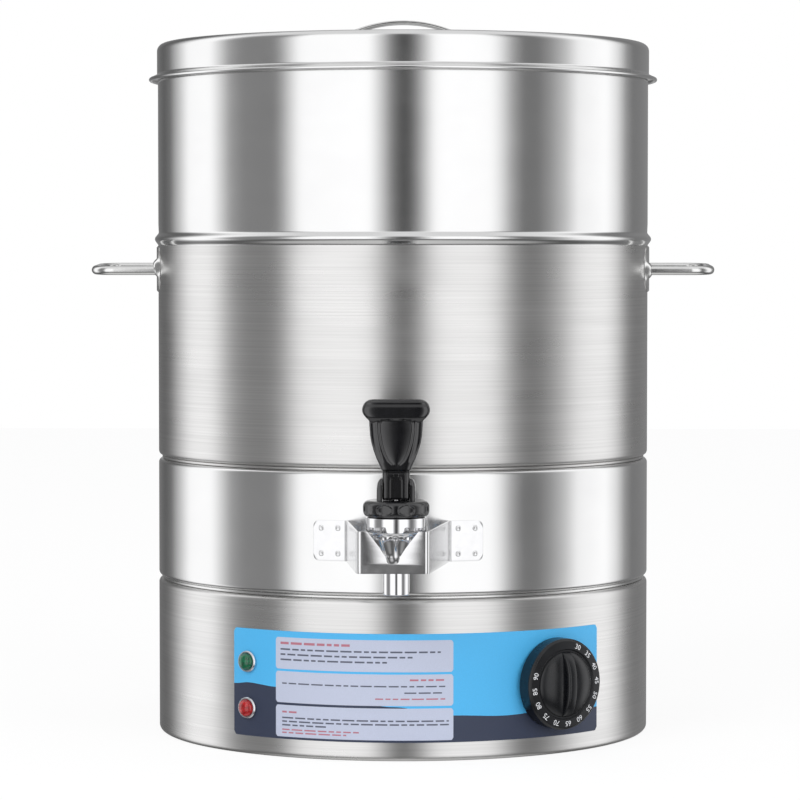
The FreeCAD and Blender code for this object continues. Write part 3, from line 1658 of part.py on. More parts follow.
def make_wires(element_ends, element_low, back):
    """Wires from the terminal block to what each feeds, on straight runs and arcs."""
    left, right = sorted(element_ends, key=lambda point: point.x)
    mid = number(size.flange_lift + size.wire_lift)
    lead = number(size.wire_lead)
    lane = number(size.wire_lane)
    step = number(size.wire_step)
    turn_y = number(size.wire_turn)
    lamp_y = number(size.lamp_turn)
    join_y = (turn_y + lamp_y) / 2
    low_level = number(size.wire_low)
    high_level = number(size.wire_high)
    sensor_y = number(size.cutout_back)
    offset = number(size.wire_offset)
    floor = number(size.tank_floor)
    thermostat = inside(knob_place(), -offset, -offset,
                        number(-size.sheet_wall - size.thermostat_stand - size.thermostat_deep))
    inward = thermostat.Rotation.multVec(Vector(0, 0, -1))
    side = thermostat.Base + inward * lead
    lamp_depth = -number(size.lamp_length)
    green = lamp_place(size.green_lamp_level, lamp_depth)
    red = lamp_place(size.red_lamp_level, lamp_depth)
    lamp_in = green.Rotation.multVec(Vector(0, 0, -1))
    green_side = green.Base + lamp_in * lead
    red_side = red.Base + lamp_in * lead
    route_node("live_wires", "LiveWires", [
        [tuple(thermostat.Base), tuple(side), (side.x, turn_y, side.z), (lane, turn_y, mid),
         (lane, back, mid)],
        [(right.x, right.y, element_low), (right.x, right.y, low_level + lane),
         (2 * lead, sensor_y, low_level), (step + 1, sensor_y, high_level),
         (step + 1, sensor_y, floor - number(size.cutout_rise))],
    ])
    route_node("neutral_wires", "NeutralWires", [
        [(left.x, left.y, element_low), (left.x, left.y, low_level),
         (-lane, turn_y, mid + step), (-lane, back, mid + step)],
    ])
    route_node("lamp_wires", "LampWires", [
        [tuple(green.Base), tuple(green_side), (green_side.x, lamp_y, green_side.z),
         (-step - 1, join_y, mid + 2 * step), (-step - 1, back, mid + 2 * step)],
        [tuple(red.Base), tuple(red_side), (red_side.x - lane, lamp_y, red_side.z - offset),
         (-lane - offset, join_y, mid - 3), (-lane - offset, back, mid - 3)],
    ])
    stud_x = -number(size.stud_run)
    stud_top = number(size.flange_lift + size.stud_rise)
    route_node("earth_wire", "EarthWire", [
        [(stud_x, back, stud_top), (stud_x, back, stud_top + lead + lane),
         (stud_x, back - lead - lane, stud_top + 2 * lead + lane),
         (stud_x / 2, sensor_y, high_level), (stud_x / 2, sensor_y, floor)],
    ])


make_base_skirt()
make_bands()
make_tank()
make_insulation()
make_lid()
make_side_handle("right", Rotation(), 1)
make_side_handle("left", Rotation(Vector(0, 0, 1), 180), -1)
make_tap_body()
make_tap_seals()
make_bonnet()
make_stem()
make_lever()
make_guard()
make_label()
make_lamps()
make_knob()
make_thermostat()
make_bottom_cover()
element_ends, element_low = make_element()
make_gland()
make_base_electrics(element_ends, element_low)
doc.recompute()

for item in doc.Objects:
    if "Invalid" in item.State or "Error" in item.State:
        raise RuntimeError("{} did not build: {}".format(item.Name, item.State))
os.makedirs("parts", exist_ok=True)
for label, item in pieces.items():
    shape = item.Shape
    if shape.isNull() or not shape.isValid() or not shape.Solids:
        raise RuntimeError("{} has no valid solid".format(label))
    shape.exportStep("parts/{}.step".format(label))
    print("{:24s} solids {:2d} volume {:10.1f}".format(label, len(shape.Solids), shape.Volume))
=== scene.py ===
import json
from math import asin, atan2, ceil, copysign, cos, exp, hypot, pi, radians, sin, sqrt, tan

import bmesh
import bpy
from mathutils import Euler, Matrix, Vector


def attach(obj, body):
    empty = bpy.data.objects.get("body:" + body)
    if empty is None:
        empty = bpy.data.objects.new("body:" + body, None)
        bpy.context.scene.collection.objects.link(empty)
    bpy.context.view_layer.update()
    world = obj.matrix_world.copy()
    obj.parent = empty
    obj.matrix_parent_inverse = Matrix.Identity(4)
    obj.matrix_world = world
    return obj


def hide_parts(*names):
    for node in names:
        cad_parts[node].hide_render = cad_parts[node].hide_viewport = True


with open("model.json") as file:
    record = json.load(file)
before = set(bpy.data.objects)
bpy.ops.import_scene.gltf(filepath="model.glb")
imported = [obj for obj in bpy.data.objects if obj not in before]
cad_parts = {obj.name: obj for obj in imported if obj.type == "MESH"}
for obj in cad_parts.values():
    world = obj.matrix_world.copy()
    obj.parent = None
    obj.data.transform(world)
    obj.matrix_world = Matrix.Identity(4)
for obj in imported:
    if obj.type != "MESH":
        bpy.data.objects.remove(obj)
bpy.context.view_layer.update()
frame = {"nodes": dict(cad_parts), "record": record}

# Hot water urn. Shapes are drawn in millimetres and made in metres.
# Angles round the body are in degrees from the tap at -Y, and are positive towards +X.
# Corners of an outline are (x, y) or (x, y, radius). Profiles are (radius, height).

MM = 0.001
AXIS = 0.02
BODY = 170.0
WALL = 1.0
RING_STEPS = 224
TAP_Y = -222.0
GROOVE_LOW = 106.8
GROOVE_HIGH = 190.1
BEAD = 340.4
LID_TOP = 475.0
KNOB_ANGLE = 37.1
KNOB_LEVEL = 47.8
LAMP_ANGLE = -35.8
SHARP = radians(40)
UPRIGHT = Matrix.Rotation(radians(90), 4, "X")


# Outlines

def rounded(corners, steps=6, closed=True):
    """Points of an outline. A corner (x, y, radius) becomes an arc, and (x, y) stays sharp."""
    points = []
    count = len(corners)
    for index, corner in enumerate(corners):
        spot = Vector(corner[:2])
        at_end = not closed and index in (0, count - 1)
        if len(corner) < 3 or at_end:
            points.append(tuple(spot))
            continue
        back = (Vector(corners[index - 1][:2]) - spot).normalized()
        ahead = (Vector(corners[(index + 1) % count][:2]) - spot).normalized()
        half = back.angle(ahead) / 2
        reach = corner[2] / tan(half)
        centre = spot + (back + ahead).normalized() * corner[2] / sin(half)
        first = spot + back * reach - centre
        last = spot + ahead * reach - centre
        start = atan2(first.y, first.x)
        turn = (atan2(last.y, last.x) - start + pi) % (2 * pi) - pi
        for step in range(steps + 1):
            angle = start + turn * step / steps
            points.append((centre.x + corner[2] * cos(angle),
                           centre.y + corner[2] * sin(angle)))
    return points


def arc(x, y, radius, start, end, steps):
    """Points of an arc between two angles in degrees."""
    turns = [radians(start + (end - start) * step / steps) for step in range(steps + 1)]
    return [(x + radius * cos(turn), y + radius * sin(turn)) for turn in turns]


def step_between(low, high, value):
    """0 below low, 1 above high and a smooth step between them."""
    share = min(max((value - low) / (high - low), 0.0), 1.0)
    return share * share * (3 - 2 * share)


def straight(points, value):
    """Straight lines through (place, height) points, read at one place."""
    if value <= points[0][0]:
        return points[0][1]
    for (low, first), (high, last) in zip(points, points[1:]):
        if value <= high:
            return first + (last - first) * (value - low) / (high - low)
    return points[-1][1]


def eased(points, value):
    """The same with smooth steps in place of the straight lines."""
    for (low, first), (high, last) in zip(points, points[1:]):
        if value <= high:
            return first + (last - first) * step_between(low, high, value)
    return points[-1][1]


# Meshes

def in_scene(name, data):
    piece = bpy.data.objects.new(name, data)
    bpy.context.scene.collection.objects.link(piece)
    return piece


def smooth_object(name, mesh):
    """An object with smooth shading whose sharp folds stay sharp."""
    mesh.shade_smooth()
    mesh.set_sharp_from_angle(angle=SHARP)
    return in_scene(name, mesh)


def mesh_object(name, points, faces, scale=MM):
    """An object made from points in millimetres."""
    mesh = bpy.data.meshes.new(name)
    mesh.from_pydata([Vector(point) * scale for point in points], [], faces)
    work = bmesh.new()
    work.from_mesh(mesh)
    bmesh.ops.remove_doubles(work, verts=work.verts, dist=1e-7)
    bmesh.ops.recalc_face_normals(work, faces=work.faces)
    work.to_mesh(mesh)
    work.free()
    return smooth_object(name, mesh)


def grid_faces(rows, columns, wrap_rows=False, wrap_columns=False):
    """Four-sided faces over rows of points."""
    faces = []
    for row in range(rows if wrap_rows else rows - 1):
        for column in range(columns if wrap_columns else columns - 1):
            right = (column + 1) % columns
            above = (row + 1) % rows
            faces.append((row * columns + column, row * columns + right,
                          above * columns + right, above * columns + column))
    return faces


def loft(name, sections):
    """A skin over sections that have equal counts of points, with flat ends."""
    count = len(sections[0])
    points = [point for section in sections for point in section]
    faces = grid_faces(len(sections), count, wrap_columns=True)
    faces.append(tuple(range(count)))
    faces.append(tuple(range(len(points) - count, len(points))))
    return mesh_object(name, points, faces)


def supported(profile, near=0.5, long=3.0):
    """The profile with an extra point near both ends of each long side, which keeps sides flat."""
    points = []
    for start, end in zip(profile, profile[1:] + profile[:1]):
        points.append(start)
        side = Vector(end) - Vector(start)
        if side.length > long:
            points.append(tuple(Vector(start) + side * (near / side.length)))
            points.append(tuple(Vector(end) - side * (near / side.length)))
    return points


def with_rows(profile, pitch):
    """The profile with its long sides cut into steps, for shapes that swell between corners."""
    points = []
    for start, end in zip(profile, profile[1:] + profile[:1]):
        start, end = Vector(start), Vector(end)
        count = max(ceil((end - start).length / pitch), 1)
        points += [tuple(start.lerp(end, step / count)) for step in range(count)]
    return points


def around(reach, turn):
    """X and Y at a distance from the axis, with turn 0 at the tap."""
    return reach * sin(turn), -reach * cos(turn)


def lathe(name, profile, place=Matrix(), steps=RING_STEPS, swell=lambda *spot: 0.0):
    """A closed profile turned about Z, its radius changed by swell(turn, radius, height)."""
    profile = supported(profile)
    points = []
    for radius, height in profile:
        for step in range(steps):
            turn = 2 * pi * step / steps
            reach = radius + swell(turn, radius, height)
            points.append((*around(reach, turn), height))
    faces = grid_faces(len(profile), steps, wrap_rows=True, wrap_columns=True)
    piece = mesh_object(name, points, faces)
    piece.data.transform(place)
    return piece


def sheet_on_wall(name, start, end, low, high, radius, thick, columns=64):
    """A thin sheet on the body between two angles. low and high give its edges at an angle."""
    points = []
    for layer in (radius, radius + thick):
        for edge in (low, high):
            for column in range(columns + 1):
                angle = start + (end - start) * column / columns
                turn = radians(angle)
                points.append((*around(layer, turn), edge(angle)))
    width = columns + 1
    faces = []
    for column in range(columns):
        a, b = column, column + 1
        faces.append((a, b, width + b, width + a))
        faces.append((2 * width + a, 3 * width + a, 3 * width + b, 2 * width + b))
        faces.append((a, 2 * width + a, 2 * width + b, b))
        faces.append((width + a, width + b, 3 * width + b, 3 * width + a))
    for column in (0, columns):
        faces.append((column, width + column, 3 * width + column, 2 * width + column))
    return mesh_object(name, points, faces)


def tube(name, path, radius, sides):
    """A round tube along points, with flat ends."""
    path = [Vector(point) for point in path]
    normal = (path[1] - path[0]).orthogonal()
    sections = []
    for spot, before, after in zip(path, path[:1] + path[:-1], path[1:] + path[-1:]):
        along = (after - before).normalized()
        normal = (normal - along * normal.dot(along)).normalized()
        across = along.cross(normal)
        turns = [2 * pi * side / sides for side in range(sides)]
        sections.append([spot + (normal * cos(turn) + across * sin(turn)) * radius
                         for turn in turns])
    return loft(name, sections)


def joined(name, *objects):
    """One object from several."""
    work = bmesh.new()
    for item in objects:
        work.from_mesh(item.data)
        bpy.data.objects.remove(item)
    mesh = bpy.data.meshes.new(name)
    work.to_mesh(mesh)
    work.free()
    return smooth_object(name, mesh)


def at(x, y, z):
    """A place in millimetres."""
    return Matrix.Translation(Vector((x, y, z)) * MM)


def on_wall(angle, level, out=0.0):
    """A place on the body whose own Z points outwards and whose own Y points up."""
    turn = radians(angle)
    spot = Vector((*around((BODY + out) * MM, turn), level * MM))
    return Matrix.Translation(spot) @ (Matrix.Rotation(turn, 4, "Z") @ UPRIGHT)


# Materials

LOW_STOP, HIGH_STOP = 0.3, 0.7


def fill(node, **values):
    """Sets inputs of a node by name, with _ for a space."""
    for word, value in values.items():
        node.inputs[word.replace("_", " ")].default_value = value
    return node


class Look:
    """Builds one procedural material."""

    def __init__(self, name):
        self.material = bpy.data.materials.new(name)
        self.material.use_nodes = True
        tree = self.material.node_tree
        self.node = tree.nodes.new
        self.link = tree.links.new
        self.shader = tree.nodes["Principled BSDF"]
        self.place = self.node("ShaderNodeTexCoord").outputs["Object"]

    def set(self, **values):
        fill(self.shader, **values)
        return self

    def noise(self, scale, detail=4.0, rough=0.6):
        """Noise with a scale per metre, which is one number or one for each axis."""
        stretch = fill(self.node("ShaderNodeMapping"),
                       Scale=scale if isinstance(scale, tuple) else (scale,) * 3)
        self.link(self.place, stretch.inputs["Vector"])
        noise = fill(self.node("ShaderNodeTexNoise"), Scale=1.0, Detail=detail, Roughness=rough)
        self.link(stretch.outputs["Vector"], noise.inputs["Vector"])
        return noise.outputs["Fac"]

    def colours(self, fac, *stops):
        """Base colour from two stops of (place, colour)."""
        node = self.node("ShaderNodeValToRGB")
        for element, (place, colour) in zip(node.color_ramp.elements, stops):
            element.position = place
            element.color = (*colour, 1.0)
        self.link(fac, node.inputs["Fac"])
        self.link(node.outputs["Color"], self.shader.inputs["Base Color"])

    def rough(self, fac, low, high):
        node = fill(self.node("ShaderNodeMapRange"), From_Min=LOW_STOP, From_Max=HIGH_STOP,
                    To_Min=low, To_Max=high)
        self.link(fac, node.inputs["Value"])
        self.link(node.outputs["Result"], self.shader.inputs["Roughness"])

    def bump(self, fac, strength, distance):
        """The last touch of a material. The distance is in metres."""
        node = fill(self.node("ShaderNodeBump"), Strength=strength, Distance=distance)
        self.link(fac, node.inputs["Height"])
        self.link(node.outputs["Normal"], self.shader.inputs["Normal"])
        return self.material

    def brushed_round(self, amount):
        """The brush runs round Z, so light spreads up and down."""
        tangent = self.node("ShaderNodeTangent")
        tangent.direction_type = "RADIAL"
        tangent.axis = "Z"
        self.link(tangent.outputs["Tangent"], self.shader.inputs["Tangent"])
        self.set(Anisotropic=amount, Anisotropic_Rotation=0.25)


def shades(colour, dark, light):
    """Two colour stops around one colour."""
    low = tuple(part * dark for part in colour)
    high = tuple(min(part * light, 1.0) for part in colour)
    return (LOW_STOP, low), (HIGH_STOP, high)


def brushed_steel():
    look = Look("brushed_stainless").set(Metallic=1.0)
    streak = look.noise((5, 5, 1100), detail=6.0, rough=0.7)
    patch = look.noise((9, 9, 40), detail=3.0)
    look.colours(streak, *shades((0.72, 0.715, 0.705), 0.9, 1.08))
    look.rough(patch, 0.26, 0.32)
    look.brushed_round(0.7)
    return look.bump(streak, 0.10, 0.00012)


def polished_steel():
    look = Look("polished_stainless").set(Metallic=1.0)
    streak = look.noise((4, 4, 900), detail=5.0)
    smear = look.noise((14, 14, 22))
    look.colours(smear, *shades((0.80, 0.80, 0.795), 0.97, 1.02))
    look.rough(smear, 0.13, 0.17)
    look.brushed_round(0.35)
    return look.bump(streak, 0.03, 0.00010)


def bright_steel(name, colour=(0.80, 0.80, 0.79), low=0.12, high=0.2):
    look = Look(name).set(Metallic=1.0)
    wear = look.noise(160, detail=6.0)
    scratch = look.noise((1500, 60, 300), detail=3.0)
    look.colours(wear, *shades(colour, 0.96, 1.03))
    look.rough(wear, low, high)
    return look.bump(scratch, 0.05, 0.00004)


def satin_steel(name, colour, low=0.35, high=0.5):
    look = Look(name).set(Metallic=1.0)
    grain = look.noise(700, detail=6.0)
    patch = look.noise(30)
    look.colours(patch, *shades(colour, 0.9, 1.08))
    look.rough(grain, low, high)
    return look.bump(grain, 0.12, 0.00006)


def chrome():
    look = Look("chromed_brass").set(Metallic=1.0)
    ripple = look.noise(90, detail=3.0)
    look.colours(ripple, *shades((0.86, 0.86, 0.87), 0.98, 1.01))
    look.rough(ripple, 0.04, 0.09)
    return look.bump(ripple, 0.04, 0.0002)


def glossy_black():
    look = Look("black_plastic").set(IOR=1.75)
    swirl = look.noise(260, detail=5.0)
    look.colours(swirl, *shades((0.004, 0.004, 0.005), 0.7, 1.4))
    look.rough(swirl, 0.06, 0.10)
    return look.bump(swirl, 0.03, 0.0001)


def knob_black():
    look = Look("knob_plastic").set(IOR=1.52)
    grain = look.noise(1400)
    patch = look.noise(90, detail=3.0)
    look.colours(patch, *shades((0.003, 0.0035, 0.005), 0.8, 1.4))
    look.rough(patch, 0.24, 0.34)
    return look.bump(grain, 0.10, 0.00006)


def plain_plastic(name, colour, low=0.4, high=0.55, grain_size=1200):
    look = Look(name).set(IOR=1.48)
    grain = look.noise(grain_size)
    patch = look.noise(60, detail=3.0)
    look.colours(patch, *shades(colour, 0.93, 1.06))
    look.rough(grain, low, high)
    return look.bump(grain, 0.08, 0.00005)


def print_ink(name, colour):
    """Printed overlay: even colour with a fine dot grain under a satin film."""
    look = Look(name).set(IOR=1.46)
    dots = look.noise(2400, detail=2.0)
    patch = look.noise((35, 35, 60), detail=3.0)
    look.colours(dots, *shades(colour, 0.94, 1.05))
    look.rough(patch, 0.36, 0.46)
    return look.bump(patch, 0.05, 0.0002)


def lens(name, colour, glow):
    """Dark translucent lens with fine rings moulded inside."""
    look = Look(name).set(IOR=1.5, Coat_Weight=0.6, Coat_Roughness=0.05)
    depth = look.noise(420, detail=3.0)
    look.colours(depth, (0.3, colour), (0.72, glow))
    look.rough(depth, 0.12, 0.22)
    return look.bump(depth, 0.25, 0.0003)


def wool():
    look = Look("glass_wool").set(IOR=1.4, Sheen_Weight=0.4)
    strand = look.noise((900, 900, 120), detail=8.0)
    look.colours(strand, *shades((0.80, 0.72, 0.42), 0.7, 1.15))
    look.rough(strand, 0.85, 0.98)
    return look.bump(strand, 0.7, 0.0008)


def named(*materials):
    """Materials by slot. Blender adds .001 where the frame has a material of that name."""
    return {material.name.split(".")[0]: material for material in materials}


LOOKS = named(
    brushed_steel(),
    polished_steel(),
    bright_steel("polished_rod"),
    bright_steel("guard_stainless", (0.80, 0.80, 0.805), 0.13, 0.18),
    satin_steel("tank_stainless", (0.74, 0.74, 0.73), 0.25, 0.35),
    wool(),
    satin_steel("galvanised_sheet", (0.60, 0.61, 0.62)),
    satin_steel("zinc_screw", (0.66, 0.67, 0.68), 0.25, 0.4),
    chrome(),
    glossy_black(),
    knob_black(),
    bright_steel("steel_shaft", (0.66, 0.66, 0.66), 0.18, 0.3),
    plain_plastic("silicone", (0.60, 0.58, 0.54), 0.45, 0.6, 500),
    bright_steel("brass", (0.78, 0.60, 0.30), 0.22, 0.34),
    print_ink("label_print", (0.075, 0.45, 0.82)),
    bright_steel("lamp_bezel", (0.72, 0.73, 0.76), 0.15, 0.25),
    lens("green_lens", (0.0, 0.035, 0.015), (0.0, 0.17, 0.07)),
    lens("red_lens", (0.16, 0.002, 0.004), (0.55, 0.012, 0.014)),
    plain_plastic("white_plastic", (0.80, 0.80, 0.78)),
    satin_steel("thermostat_case", (0.60, 0.60, 0.61)),
    bright_steel("copper_tube", (0.72, 0.40, 0.26), 0.25, 0.4),
    satin_steel("element_sheath", (0.40, 0.40, 0.42)),
    plain_plastic("gland_plastic", (0.025, 0.025, 0.026)),
    plain_plastic("wire_brown", (0.20, 0.08, 0.035)),
    plain_plastic("wire_blue", (0.03, 0.11, 0.48)),
    plain_plastic("wire_white", (0.78, 0.78, 0.76)),
    plain_plastic("wire_green", (0.10, 0.38, 0.07)),
)
INKS = named(
    print_ink("slate_ink", (0.030, 0.040, 0.075)),
    print_ink("pale_ink", (0.50, 0.54, 0.67)),
    print_ink("bar_ink", (0.10, 0.11, 0.15)),
    print_ink("rose_ink", (0.45, 0.17, 0.22)),
    print_ink("number_ink", (0.75, 0.76, 0.78)),
)


def dress(piece, slot, body, *nodes, ink=None):
    """Gives a piece the material of its slot or ink, puts it on its body and hides the nodes that
    it stands for.
    """
    piece.data.materials.clear()
    piece.data.materials.append(INKS[ink] if ink else LOOKS[slot])
    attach(piece, body)
    if nodes:
        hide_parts(*nodes)
    return piece


# Body bands

GROOVE_HALF = 4.2
GROOVE_DEEP = 3.0
SEAM = BODY - 4.7
ROLL = 1.1
ARC_STEPS = 8


def shoulder(level, way):
    """The rounded edge of a band from its face into a groove. way is 1 upwards, -1 downwards."""
    return arc(BODY - GROOVE_DEEP, level - way * GROOVE_HALF, GROOVE_DEEP, 0, way * 90, ARC_STEPS)


def upper_edge(level):
    """From a band's face into the groove above it and back down its inside."""
    end = shoulder(level, 1)[-1][1]
    return shoulder(level, 1) + [(SEAM, end), (SEAM, end - WALL),
                                 (BODY - WALL, level - GROOVE_HALF - WALL)]


def lower_edge(level):
    """Up the inside of the band above, round the rolled seam in the groove and out to its face."""
    end = shoulder(level, -1)[-1][1]
    points = [(BODY - WALL, level + GROOVE_HALF + WALL), (SEAM, end + WALL), (SEAM, level - ROLL)]
    points += arc(BODY - GROOVE_DEEP - 0.5, level, ROLL, -90, 90, ARC_STEPS)
    return points + shoulder(level, -1)[::-1]


def make_skirt():
    foot = BODY - 8.0
    profile = rounded([
        (BODY, 60), (BODY, 0, 3.5), (foot, 0, 0.6), (foot, 5.0), (foot - 14.0, 5.0),
        (foot - 14.0, 6.0), (foot + WALL, 6.0), (foot + WALL, WALL), (BODY - WALL, WALL, 2.5),
        (BODY - WALL, 60),
    ], closed=False)
    profile = upper_edge(GROOVE_LOW)[::-1] + profile
    return dress(lathe("skirt_shell", profile), "brushed_stainless", "urn", "base_skirt")


def make_tap_band():
    profile = lower_edge(GROOVE_LOW) + upper_edge(GROOVE_HIGH)
    return dress(lathe("tap_band_shell", profile), "polished_stainless", "urn", "tap_band")


def make_middle_band():
    top = BEAD - 4.6
    profile = lower_edge(GROOVE_HIGH) + [(BODY, top), (BODY - WALL, top)]
    return dress(lathe("middle_band_shell", profile), "brushed_stainless", "urn", "middle_band")


def make_top_band():
    """The bead, the plain band and the neck that the lid slips over."""
    half, proud = 4.6, 2.4
    profile = [(BODY - WALL, BEAD - half)]
    steps = 20
    for step in range(steps + 1):
        share = 2 * step / steps - 1
        swell = (0.5 + 0.5 * cos(pi * share)) ** 0.8
        dip = 0.25 * step_between(0.2, 1.0, share)
        profile.append((BODY + proud * swell - dip, BEAD + half * share))
    neck = BODY - 2.1
    profile += [(BODY, BEAD + half + 6)]
    profile += rounded([(BODY, BEAD + half + 8), (BODY, 451, 3), (neck, 454, 3), (neck, 469.4),
                        (neck - WALL, 469.4), (neck - WALL, 454, 3), (BODY - WALL, 451, 3),
                        (BODY - WALL, BEAD)], closed=False)
    return dress(lathe("top_band_shell", profile), "polished_stainless", "urn", "top_band")


def make_tank():
    """The water tank, whose rolled rim hooks over the neck of the top band."""
    rim = LID_TOP - 1.1
    edge = BODY - 1.0
    profile = rounded([
        (AXIS, 118), (155, 118, 12), (155, rim - 1), (edge - 1, rim - 1, 3.5),
        (edge - 1, rim - 12), (edge, rim - 12), (edge, rim, 4.5), (154, rim, 1), (154, 119, 11),
        (AXIS, 119),
    ])
    return dress(lathe("tank_shell", profile), "tank_stainless", "urn", "inner_tank")


def make_lid():
    """A flat pan with a rounded corner, a straight side and a flared, rolled hem."""
    side = 170.6
    wall = 0.8
    top = LID_TOP
    profile = [(AXIS, top - wall)]
    profile += rounded([(100, top - wall), (side - wall, top - wall, 4.2), (side - wall, 453.0, 1),
                        (173.6, 451.2), (173.6, 450.3)], closed=False)
    profile += arc(174.9, 450.4, 1.3, 200, 450, 12)
    profile += rounded([(174.2, 452.0), (side, 453.8, 1.5), (side, top, 5.0), (100, top)],
                       steps=10, closed=False)
    profile.append((AXIS, top))
    return dress(lathe("lid_pan", profile), "polished_stainless", "lid", "lid")


def make_lid_handle():
    """A bent strap with eased edges on two riveted feet."""
    radius, rise, wall, wide, foot = 91.0, 16.6, 2.0, 20.0, 11.0
    drop = radius - rise
    reach = sqrt((radius - wall) ** 2 - drop ** 2)
    centre = LID_TOP - drop
    full = asin(reach / (radius - wall / 2))
    line = [(-reach - foot, LID_TOP + wall / 2, Vector((0, 1)))]
    steps = 32
    for step in range(steps + 1):
        turn = full * (2 * step / steps - 1)
        out = Vector((sin(turn), cos(turn)))
        line.append((out.x * (radius - wall / 2), centre + out.y * (radius - wall / 2), out))
    line.append((reach + foot, LID_TOP + wall / 2, Vector((0, 1))))
    section = rounded([(wide / 2, wall / 2, 0.8), (-wide / 2, wall / 2, 0.8),
                       (-wide / 2, -wall / 2, 0.8), (wide / 2, -wall / 2, 0.8)], steps=4)
    strap = loft("lid_strap", [[(x + out.x * up, across, z + out.y * up) for across, up in section]
                               for x, z, out in line])
    dress(strap, "polished_rod", "lid", "lid_handle")
    heads = []
    spot = (reach + 1.0 + reach + foot) / 2
    head = rounded([(AXIS, 0), (3.2, 0), (3.0, 1.0, 0.8), (1.2, 1.4, 1), (AXIS, 1.4)],
                   closed=False)
    shank = [(AXIS, -4.0), (2.2, -4.0), (2.2, -2.8), (1.6, -2.8), (1.6, 0), (AXIS, 0)]
    for profile, steps in ((head, 32), (shank, 24)):
        for x in (-spot, spot):
            for y in (-5.0, 5.0):
                heads.append(lathe("rivet", profile, at(x, y, LID_TOP + wall), steps))
    dress(joined("lid_rivets", *heads), "polished_rod", "lid", "lid_handle_rivets")


# Side handles

HANDLE_LEVEL = 319.8
HANDLE_HALF = 30.0
HANDLE_TILT = radians(2.0)


def make_handle(label, side):
    """A bent rod whose arm near the tap is a little lower. side is 1 right, -1 left."""
    rod, root, far, bend = 3.1, BODY - 1.0, BODY + 42.4, 14.0
    line = [(root, -HANDLE_HALF), *arc(far - bend, bend - HANDLE_HALF, bend, -90, 0, 10),
            *arc(far - bend, HANDLE_HALF - bend, bend, 0, 90, 10), (root, HANDLE_HALF)]
    path = [(side * x, y * cos(HANDLE_TILT), HANDLE_LEVEL + y * sin(HANDLE_TILT))
            for x, y in line]
    dress(tube(label + "_rod", path, rod, sides=28), "polished_rod", "urn", label + "_handle")
    make_handle_plate(label, side)


def make_handle_plate(label, side):
    """An oval plate pressed to the body, with a domed boss round each end of the rod."""
    wide, tall, thick = 37.0, 16.0, 1.2
    boss_round, boss_rise = 7.5, 3.0
    rings, spokes = 30, 128
    points = []

    def place(along, up, out):
        turn = radians(90) * side + along / BODY * side
        return (*around(BODY + out, turn), HANDLE_LEVEL + up)

    for layer in (1, 0):
        for ring in range(rings + 1):
            share = ring / rings
            for spoke in range(spokes):
                turn = 2 * pi * spoke / spokes
                ease = min(1.0, abs(cos(turn)) * 6)
                along = tall * cos(turn) + copysign(wide - tall, cos(turn)) * ease
                up = tall * sin(turn)
                spot_along, spot_up = along * share, up * share
                height = 0.0
                if layer:
                    height = thick * (1 - step_between(0.93, 1.0, share) * 0.7)
                    for arm in (-1, 1):
                        centre_up = arm * HANDLE_HALF * sin(HANDLE_TILT) * side
                        gap = hypot(spot_along - arm * HANDLE_HALF, spot_up - centre_up)
                        height += boss_rise * (1 - step_between(3.0, boss_round, gap))
                points.append(place(spot_along, spot_up, height))
    faces = []
    for base in (0, (rings + 1) * spokes):
        for a, b, c, d in grid_faces(rings + 1, spokes, wrap_columns=True):
            faces.append((base + a, base + b, base + c, base + d))
    outer, inner = rings * spokes, (2 * rings + 1) * spokes
    for spoke in range(spokes):
        after = (spoke + 1) % spokes
        faces.append((outer + spoke, outer + after, inner + after, inner + spoke))
    plate = mesh_object(label + "_plate", points, faces)
    dress(plate, "polished_rod", "urn", label + "_handle_plate")


# Tap

SHANK_LEVEL = 149.5
RING_LOW = 164.1
RING_TOP = 174.6


def make_tap_body():
    """Spout, fluted funnel and collar in one casting, with its shank and flange."""
    outer = rounded([
        (AXIS, 150), (5.5, 150), (5.5, 114.4, 0.5), (8.5, 114.4, 0.8), (8.5, 133.5, 3),
        (12.0, 139.0, 6), (17.3, 150.5, 4), (17.3, 153.6, 0.6), (19.0, 154.6, 1.0),
        (19.0, 164.0, 0.8), (AXIS, 164.0),
    ])
    outer = with_rows(outer, 1.2)

    def flutes(turn, radius, height):
        if radius < 8.6:
            return 0.0
        fade = step_between(134, 141, height) * (1 - step_between(152.4, 154.0, height))
        return -1.9 * fade * abs(sin(6 * turn)) ** 0.7

    casting = lathe("casting", outer, at(0, TAP_Y, 0), steps=160, swell=flutes)
    inner_end = 134.0
    washer = BODY + 2.5 - inner_end
    front = -TAP_Y - inner_end - 12
    shank = lathe("shank", rounded([
        (6.0, 0), (10.3, 0, 0.6), (10.3, washer), (15.5, washer, 0.8), (15.5, washer + 3, 1.0),
        (11.4, washer + 5, 2.0), (11.0, front), (6.0, front),
    ]), at(0, -inner_end, SHANK_LEVEL) @ UPRIGHT, steps=96)
    dress(joined("tap_casting", casting, shank), "chromed_brass", "urn", "tap_body")


